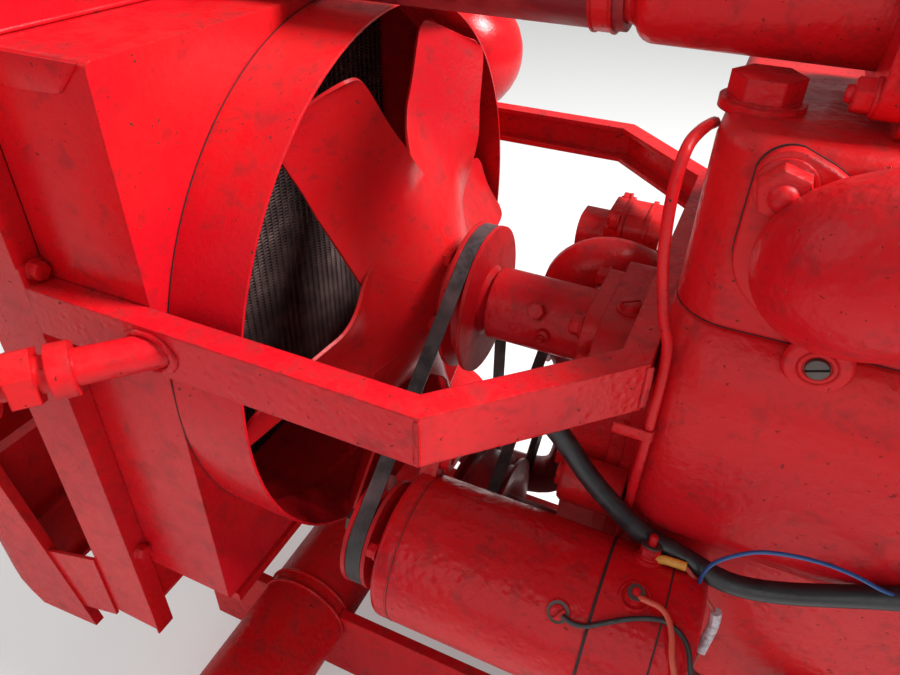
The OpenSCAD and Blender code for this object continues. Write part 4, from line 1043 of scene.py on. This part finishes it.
class ENGINE_OT_block_fasteners(bpy.types.Operator):
    """Set the nuts, bolts and bosses of the block, the head, the covers, the sump and the manifolds"""
    bl_idname = "engine.block_fasteners"
    bl_label = "Block fasteners"

    def execute(self, context):
        nut, bolt = context.scene.engine_sizes.nut, context.scene.engine_sizes.bolt
        lid = turned(mm((24.6, -13), (25.4, -11), (25.4, -2), (23.5, 0.4), (15, 2.0), (12, 2.2), (11, 7.0),
                        (8, 8.4), (0, 8.8)), 48)
        pad = turned(mm((7.6, 0), (7.6, 9.2), (6.6, 10.2), (0, 10.2)), 28)
        sump_bolt = joined(pad, apply_at(hex_head(bolt * 0.85, 0.0062), Matrix.Translation((0, 0, 0.0101))))
        knob = turned(mm((6.4, 6), (6.4, 12.6), (5.6, 14.2), (3.9, 15.6), (1.8, 16.3), (0, 16.5)), 32)
        stud_end = joined(hex_head(0.0218, 0.0105, 0.0138), knob)
        boss = turned(mm((0, -1), (16.5, -1), (16.5, 0.8), (14.8, 3.0), (9.8, 3.2), (9.2, 2.2), (0, 2.2)), 40)
        plug = turned(mm((9.2, 0), (9.2, 1.0), (8.6, 1.7), (6.6, 1.7), (6.2, 0)), 40)
        corner_boss = turned(mm((0, 0), (17, 0), (17, 40), (15.5, 42), (11, 42.4), (10, 41), (0, 41)), 40)
        corner_screw = slotted_screw(0.0078, 0.0042, 0.002, 0.0092)

        head_z = low("rocker_cover").z
        studs = [((x, y, head_z), UP, x) for x in (88, 146, 204, 262, 320) for y in (94.3, -94.3)]
        caps = [((x, 0, 535.0), UP, 8) for x in (206, 276)]
        rim = [((x, y, 467.0), UP, 3 * x) for x in (92, 143, 194, 245, 296) for y in (79.2, -79.2)]
        sump = both_sides([((x, 117.8, -50.0), UP, 10) for x in (88, 144, 200, 256, 312, 368, 424)])
        arc = [((TIMING_FACE, 82 * cos(radians(t)), 82 * sin(radians(t))), AHEAD, t)
               for t in (-158, -124, -90, -56, -22)]
        edges = both_sides([((TIMING_FACE, y, z), AHEAD, spin) for y, z, spin in (
            (81.0, 52.0, 5), (76.0, 122.0, 40), (69.5, 192.0, 15), (58.5, 271.0, 50))])
        flange = [((497.0, y, z), AHEAD, y + z) for y in (-36.5, 36.5) for z in (239.0, 285.0)]
        intake = [((x, 119.0, z), LEFT, spin) for x, z, spin in (
            (90.5, 377.0, 30), (90.5, 443.0, 4), (349.5, 381.0, 14))]
        exhaust = [((x + side * 35.5, -122.0, z), RIGHT, 9 * side)
                   for x in (112, 348) for side in (-1, 1) for z in (387.0, 435.0)]
        outlet = [((378.0, y, z), AHEAD, 2 * y) for y in (-13.0, 87.0) for z in (475.0, 539.0)]
        on_boss = (365.0, 123.2, 357.0)

        for name, model, places in (
                ("head_nuts", stud_nut(nut * 0.9, 0.010, 0.0052, 0.005, 0.0098), studs),
                ("cover_nuts", dome_nut(0.021, 0.017, 0.0145), caps),
                ("cover_screws", slotted_screw(0.0034, 0.0022, 0.0009), rim),
                ("oil_filler_lid", lid, [((134, 0, 556), UP)]),
                ("sump_bolts", sump_bolt, sump),
                ("timing_cover_bolts", hex_head(bolt, 0.0078, 0.0092), arc + edges),
                ("fan_flange_bolts", hex_head(bolt, 0.0075, 0.0088), flange),
                ("intake_stud_nut", stud_end, [((403.5, 119.0, 440.5), LEFT, 14)]),
                ("intake_nuts", stud_nut(nut * 0.95, 0.010, 0.005, 0.004, 0.011), intake),
                ("exhaust_nuts", stud_nut(nut * 0.86, 0.0095, 0.0046, 0.004, 0.0096), exhaust),
                ("block_boss", boss, [((365.0, 121.5, 357.0), LEFT)]),
                ("block_boss_plug", plug, [(on_boss, LEFT)]),
                ("corner_boss", corner_boss, [((440.5, 98, 203), AHEAD)]),
                ("corner_boss_screw", corner_screw, [((481.5, 98, 203), AHEAD, 25)]),
                ("outlet_nuts", stud_nut(0.014, 0.008, 0.004, 0.004, 0.0086), outlet)):
            done(spread(model, places), name, "cast_red")
        screw = apply_at(slotted_screw(0.0058, 0.0034, 0.0015), standing(on_boss, LEFT, 20))
        done(screw, "block_boss_screw", "steel")
        return {"FINISHED"}


class ENGINE_OT_hose_clamps(bpy.types.Operator):
    """Put the clamps on both hoses"""
    bl_idname = "engine.hose_clamps"
    bl_label = "Hose clamps"

    def execute(self, context):
        clamps = []
        for radius, point, axis, spin in (
                (26.0, (512, 30, 503), AHEAD, 205), (26.0, (764, 30, 503), AHEAD, 140),
                (21.0, (538, -84, 213), UP, 40), (21.0, (773, -112, 32), AHEAD, 0)):
            band = ring_band(radius - 0.3, radius + 1.2, 6.2)
            lips = spread(ring_band(radius + 0.9, radius + 1.9, 0.7), [((0, 0, z), UP) for z in (-5.6, 5.6)])
            ears = [apply_at(block((0.0022, 0.012, 0.012), 0.0007), standing((x, 0, radius - 0.4), UP))
                    for x in (-4.2, 4.2)]
            up = radius + 6.4
            bolt = apply_at(hex_head(0.0095, 0.0055), standing((5.2, 0, up), AHEAD))
            shank = apply_at(rod(0.0026, 0.0205, 16), standing((-12.5, 0, up), AHEAD))
            nut = apply_at(hex_head(0.0095, 0.005), standing((-5.2, 0, up), BACK))
            lug = apply_at(joined(*ears, bolt, shank, nut), Matrix.Rotation(radians(90), 4, "X"))
            clamps.append(apply_at(joined(band, lips, lug), standing(point, axis, spin)))
        done(joined(*clamps), "hose_clamps", "cast_red")
        return {"FINISHED"}


class ENGINE_OT_pipe_fittings(bpy.types.Operator):
    """Add the fuel pipe's union and clip, the grease nipple, the cover's plug and the loom's clips"""
    bl_idname = "engine.pipe_fittings"
    bl_label = "Pipe fittings"

    def execute(self, context):
        union = joined(hex_head(0.012, 0.010), rod(0.0044, 0.016, 24, 0.0, 0.001))
        done(apply_at(union, standing((386, 115.3, 122), (1.0, 0.0, 0.08), 30)), "pipe_unions", "cast_red")
        nipple = turned(mm((5.4, -1), (5.4, 3.2), (4.2, 4.0), (3.0, 4.4), (3.0, 6.6), (1.9, 7.4), (2.6, 9.0),
                           (1.8, 10.4), (0, 10.6)), 28)
        side = 88
        place = standing((527.0, *on_circle(28.5, side, z=FAN_UP)), (0, *on_circle(1, side)))
        done(apply_at(nipple, place), "grease_nipple", "fan_red")
        plug = apply_at(slotted_screw(0.0074, 0.005, 0.0018, 0.0098), standing((470, 20, 298), UP, 35))
        done(plug, "timing_cover_plug", "cast_red")
        clips = [apply_at(ring_band(6.3, 7.4, 4.5, 32), standing(point, aim)) for point, aim in (
            ((232, 138.4, 258), (0.95, 0, -0.32)), ((272, 138.8, 244.6), (0.93, 0, -0.36)))]
        done(joined(*clips), "loom_clips", "steel")
        foot = apply_at(block((0.018, 0.008, 0.0014), 0.0004), Matrix.Translation((-0.0105, 0, -0.0036)))
        screw = apply_at(hex_head(0.008, 0.0036), Matrix.Translation((-0.014, 0, -0.0024)))
        foot = apply_at(joined(foot, screw), Matrix.Rotation(radians(-90), 4, "X"))
        clip = joined(ring_band(2.9, 4.0, 4.0, 24), foot)
        done(apply_at(clip, standing((433.7, 129.8, 290), UP)), "pipe_clip", "cast_red")
        return {"FINISHED"}


class ENGINE_OT_cowl_details(bpy.types.Operator):
    """Add the cowl's lapped corners, the strips' bolts, the top tank's fold and the cap's grips"""
    bl_idname = "engine.cowl_details"
    bl_label = "Cowl details"

    def execute(self, context):
        x, z, thick = 781.2, 457.6, 1.3
        outline = [(-3.5, 0), (-3.5, 16.5), (20, 16.5), (70, 16.5), (54, 1.0), (50, 0), (24, -1.5), (2, -1.2)]
        laps = [side_sheet([(x - along, z + up) for along, up in outline], y, thick, 0.0004)
                for y in (210.0, -211.3)]
        done(faced_out(joined(*laps)), "cowl_laps", "sheet_red")

        strip = both_sides([((786.0, 217.5, z), BACK, 20) for z in (350.0, 89.0)])
        done(spread(hex_head(0.0105, 0.0055, 0.0068), strip), "strip_bolts", "sheet_red")

        fold = apply_at(block((0.060, 0.452, 0.0028), 0.0011, 3), Matrix.Translation((0.8108, 0, 0.4752)))
        done(fold, "tank_fold", "sheet_red")
        cap_x, radius, up = 811.0, 26.8, low("filler_cap").z + 0.4
        grips = [((cap_x + radius * cos(radians(t)), radius * sin(radians(t)), up), UP, t)
                 for t in range(0, 360, 15)]
        done(spread(block((0.0062, 0.0032, 0.0062), 0.0012), grips), "cap_grips", "cap_metal")
        return {"FINISHED"}


class ENGINE_OT_welds(bpy.types.Operator):
    """Lay the weld beads of the lamp arms, the stay frame and the cross tube"""
    bl_idname = "engine.welds"
    bl_label = "Welds"

    def execute(self, context):
        thick = context.scene.engine_sizes.bead
        arms = []
        for side in (1, -1):
            collar = weld_bead(0.0122, thick * 0.8, 5 + side, 72)
            whole(collar)
            bpy.ops.transform.resize(value=(1.35, 1.0, 1.0))
            arms.append(apply_at(collar, Matrix.Translation((0.6957, side * 0.2272, 0.326))
                                 @ Matrix.Rotation(radians(-90 * side), 4, "X")))
        done(joined(*arms), "arm_welds", "stay_red")
        lines = []
        for side in (1, -1):
            for seed, x, y, out in ((11, 530.0, 227.0, (0.3, 0.95)), (12, 440.0, 136.0, (-0.38, 0.92))):
                bead = weld_line((0, 0, 312.0), (0, 0, 340.0), thick * 0.55, seed)
                turn = Vector((out[0], out[1] * side, 0)).to_track_quat("Y", "Z").to_matrix().to_4x4()
                lines.append(apply_at(bead, Matrix.Translation((x * MM, side * y * MM, 0)) @ turn))
        done(joined(*lines), "stay_welds", "stay_red")
        rings = [apply_at(weld_bead(0.0458, thick * 0.6, 20 + i, 96), standing((718, y, -90), LEFT))
                 for i, y in enumerate((104.4, 117.6, -104.4, -117.6))]
        done(joined(*rings), "tube_welds", "cast_red")
        return {"FINISHED"}


class ENGINE_OT_frame_bolts(bpy.types.Operator):
    """Bolt up the frame's side plates, the dynamo and the pump"""
    bl_idname = "engine.frame_bolts"
    bl_label = "Frame bolts"

    def execute(self, context):
        rails = both_sides([((x, 116.0, z), LEFT, x) for x in (150, 230, 310, 390) for z in (-100.0, -146.0)])
        strap = [((558.8, *on_circle(64.0, -38, DYNAMO_Y, DYNAMO_Z)), AHEAD, 10)]
        lugs = [((575.0, 154.0, 95.0), AHEAD, 4), ((417.2, 154.0, 95.0), BACK, 4)]
        pump = [((516.0, -180 + y, 142.0 + z), AHEAD, z) for y in (-26.5, 26.5) for z in (58.0, 133.0)]
        for name, model, places in (
                ("rail_bolts", hex_head(0.022, 0.011, 0.0155), rails),
                ("strap_bolt", hex_head(0.014, 0.0085, 0.0098), strap),
                ("lug_bolts", hex_head(0.018, 0.009, 0.013), lugs),
                ("pump_nuts", stud_nut(0.013, 0.007, 0.0036, 0.003, 0.0078), pump)):
            done(spread(model, places), name, "cast_red")
        return {"FINISHED"}


class ENGINE_OT_lamps(bpy.types.Operator):
    """Make the lamps' hollow shells, with reflector, bulb and rim screw"""
    bl_idname = "engine.lamps"
    bl_label = "Lamps"

    def execute(self, context):
        wall, rim = 3, 22
        for where in ("left", "right"):
            node = f"lamp_shell_{where}"
            a, b = low(node), top(node)
            mid_y, mid_z = (a.y + b.y) / 2, (a.z + b.z) / 2
            r, deep = (b.z - a.z) / 2 - wall, b.x - a.x
            place = standing((a.x, mid_y, mid_z), AHEAD)
            dome = [(r * sin(radians(t)), (deep - rim) * (1 - cos(radians(t)))) for t in range(0, 91, 9)]
            inner = [((r - wall) * sin(radians(t)), wall + (deep - rim - wall) * (1 - cos(radians(t))))
                     for t in range(90, -1, -9)]
            shell = turned(mm(
                *dome, (r + 2.0, deep - 21.5), (r + 3, deep - 20), (r + 3, deep - 6), (r + 2, deep - 3.4),
                (r, deep - 1.4), (r - 3, deep - 0.4), (r - 6, deep - 0.4), (r - 6.4, deep - 8.2),
                (r - 4, deep - 10), *inner), 72)
            done(apply_at(shell, place), f"lamp_body_{where}", "lamp_red", replaces=[node])
            bowl = [(11 + (r - 19) * t / 9, deep - 11 - 74 * (1 - (t / 9) ** 2)) for t in range(10)]
            back = [(x + 1.2, z - 1.4) for x, z in reversed(bowl)]
            cup = turned(mm(*bowl, (r - 5, deep - 9.6), (r - 5, deep - 10.8), *back, bowl[0]), 72, False)
            done(apply_at(cup, place), f"reflector_{where}", "reflector")
            bulb = turned(mm(
                (0, deep - 92), (10.6, deep - 92), (10.6, deep - 76), (7, deep - 74), (6, deep - 68),
                (9, deep - 62), (10, deep - 55), (8.4, deep - 48), (4.6, deep - 44), (0, deep - 43)), 32)
            done(apply_at(bulb, place), f"bulb_{where}", "lamp_glass")
            screw = apply_at(slotted_screw(0.0032, 0.0024, 0.001), Matrix.Translation((0, 0, 0.0078)))
            clamp = joined(block((0.014, 0.009, 0.008), 0.0015, 3), screw)
            spot = (a.x + deep - 12, mid_y, a.z + 1.6)
            done(apply_at(clamp, standing(spot, DOWN)), f"rim_clamp_{where}", "lamp_red")
        return {"FINISHED"}


class ENGINE_OT_pulley_fittings(bpy.types.Operator):
    """Add the nuts and bolts that turn with the fan and the pulleys"""
    bl_idname = "engine.pulley_fittings"
    bl_label = "Pulley fittings"

    def execute(self, context):
        hub = [((609.0, *on_circle(35.0, t, z=FAN_UP)), AHEAD, t) for t in range(17, 377, 90)]
        hub_end = [((623.0, 0, FAN_UP), AHEAD)]
        dynamo_end = [((607.0, DYNAMO_Y, DYNAMO_Z), AHEAD, 21)]
        pump_end = [((575.0, -178, 142), AHEAD, 5)]
        for name, model, places, finish, body in (
                ("fan_hub_bolts", hex_head(0.012, 0.0066, 0.0076), hub, "fan_red", "fan"),
                ("fan_end_nut", dome_nut(0.026, 0.014, 0.0175), hub_end, "fan_red", "fan"),
                ("crank_nut", hex_head(0.044, 0.013), [((605.0, 0, 0), AHEAD, 11)], "pulley_worn", "crank"),
                ("dynamo_pulley_nut", hex_head(0.0155, 0.007), dynamo_end, "steel", "dynamo_rotor"),
                ("pump_pulley_nut", hex_head(0.0155, 0.007), pump_end, "steel", "pump_rotor")):
            done(spread(model, places), name, finish, body)
        return {"FINISHED"}


FLOOR_SIZE = 14.0
FLOOR_GAP = 0.002
FLOOR_GLOW = 0.55

# The camera's right, up and back directions and its place, in metres
CAMERA_AXES = ((-0.9089, -0.4164, 0.0222), (0.2609, -0.5264, 0.8092), (-0.3253, 0.7413, 0.5871))
CAMERA_AT = (0.4196, 0.4436, 0.5656)


def seen_directly(tree):
    """1 for rays from the camera, straight or through glass, and 0 for the light on the engine."""
    rays = tree.nodes.new("ShaderNodeLightPath")
    seen = tree.nodes.new("ShaderNodeMath")
    seen.operation = "MAXIMUM"
    tree.links.new(rays.outputs["Is Camera Ray"], seen.inputs[0])
    tree.links.new(rays.outputs["Is Transmission Ray"], seen.inputs[1])
    return seen.outputs[0]


class ENGINE_OT_stage(bpy.types.Operator):
    """Set the pale floor, the soft lights and the camera"""
    bl_idname = "engine.stage"
    bl_label = "Stage"

    def execute(self, context):
        stage = context.scene.engine_stage
        only()
        floor_at = (0.5, 0.0, cad_box[0][2] - FLOOR_GAP)
        bpy.ops.mesh.primitive_plane_add(size=FLOOR_SIZE, location=floor_at)
        floor = context.object
        floor.name = "floor"
        s = Shader("Pale floor")
        s.set(Base_Color=(0.72, 0.72, 0.71), Roughness=0.9)
        glow = s.add("Emission", Color=(0.5, 0.5, 0.495), Strength=s.times(seen_directly(s.tree), FLOOR_GLOW))
        both = s.add("AddShader")
        s.link(s.surface.outputs["BSDF"], both.inputs[0])
        s.link(glow.outputs["Emission"], both.inputs[1])
        s.link(both.outputs["Shader"], s.out.inputs["Surface"])
        floor.data.materials.append(s.material)

        world = bpy.data.worlds.new("Studio")
        world.use_nodes = True
        tree = world.node_tree
        sky = tree.nodes["Background"]
        level = tree.nodes.new("ShaderNodeMapRange")
        level.inputs["To Min"].default_value = stage.world
        level.inputs["To Max"].default_value = 1.0
        tree.links.new(seen_directly(tree), level.inputs["Value"])
        tree.links.new(level.outputs["Result"], sky.inputs["Strength"])
        sky.inputs["Color"].default_value = (1.0, 1.0, 1.0, 1.0)
        context.scene.world = world

        for name, power, size, place, aim in (
                ("Key light", stage.key, 0.7, (-0.9, -0.35, 2.1), (0.6, 0.0, 0.25)),
                ("Fill light", stage.fill, 2.2, (0.3, 2.3, 1.1), (0.6, 0.1, 0.2)),
                ("Front light", stage.fill * 0.5, 1.6, (2.6, 0.4, 1.2), (0.7, 0.0, 0.2))):
            light = bpy.data.lights.new(name, "AREA")
            light.energy = power
            light.size = size
            lamp = bpy.data.objects.new(name, light)
            context.scene.collection.objects.link(lamp)
            lamp.location = place
            lamp.rotation_euler = (Vector(aim) - Vector(place)).to_track_quat("-Z", "Y").to_euler()

        camera = bpy.data.cameras.new("Camera")
        camera.sensor_width = 36.0
        camera.lens = stage.lens
        camera.clip_start = 0.01
        view = bpy.data.objects.new("Camera", camera)
        context.scene.collection.objects.link(view)
        columns = (*CAMERA_AXES, CAMERA_AT)
        view.matrix_world = Matrix([[column[i] for column in columns] for i in range(3)] + [[0, 0, 0, 1]])
        context.scene.camera = view
        context.scene.view_settings.view_transform = "Standard"
        return {"FINISHED"}


class ENGINE_PT_panel(bpy.types.Panel):
    """The engine's sizes, colours and pieces, in the sidebar"""
    bl_idname = "ENGINE_PT_panel"
    bl_label = "Engine"
    bl_space_type = "VIEW_3D"
    bl_region_type = "UI"
    bl_category = "Engine"

    def draw(self, context):
        layout = self.layout
        for group in (context.scene.engine_paint, context.scene.engine_sizes, context.scene.engine_stage):
            for name in group.__annotations__:
                layout.prop(group, name)
        for step in STEPS:
            layout.operator(step.bl_idname)


STEPS = (
    ENGINE_OT_stage, ENGINE_OT_finishes, ENGINE_OT_castings, ENGINE_OT_intake, ENGINE_OT_fan, ENGINE_OT_core,
    ENGINE_OT_loom, ENGINE_OT_seams, ENGINE_OT_dynamo, ENGINE_OT_leads,
    ENGINE_OT_block_fasteners, ENGINE_OT_hose_clamps, ENGINE_OT_pipe_fittings, ENGINE_OT_cowl_details,
    ENGINE_OT_welds, ENGINE_OT_frame_bolts, ENGINE_OT_lamps, ENGINE_OT_pulley_fittings,
)
CLASSES = (EnginePaint, EngineSizes, EngineStage, *STEPS, ENGINE_PT_panel)


def register():
    for cls in CLASSES:
        bpy.utils.register_class(cls)
    bpy.types.Scene.engine_paint = PointerProperty(type=EnginePaint)
    bpy.types.Scene.engine_sizes = PointerProperty(type=EngineSizes)
    bpy.types.Scene.engine_stage = PointerProperty(type=EngineStage)


def unregister():
    del bpy.types.Scene.engine_paint
    del bpy.types.Scene.engine_sizes
    del bpy.types.Scene.engine_stage
    for cls in reversed(CLASSES):
        bpy.utils.unregister_class(cls)


def main():
    register()
    bpy.ops.engine.stage()
    bpy.ops.engine.finishes()
    bpy.ops.engine.castings()
    bpy.ops.engine.intake()
    bpy.ops.engine.fan()
    bpy.ops.engine.core()
    bpy.ops.engine.loom()
    bpy.ops.engine.seams()
    bpy.ops.engine.dynamo()
    bpy.ops.engine.leads()
    bpy.ops.engine.block_fasteners()
    bpy.ops.engine.hose_clamps()
    bpy.ops.engine.pipe_fittings()
    bpy.ops.engine.cowl_details()
    bpy.ops.engine.welds()
    bpy.ops.engine.frame_bolts()
    bpy.ops.engine.lamps()
    bpy.ops.engine.pulley_fittings()


if __name__ == "__main__":
    main()
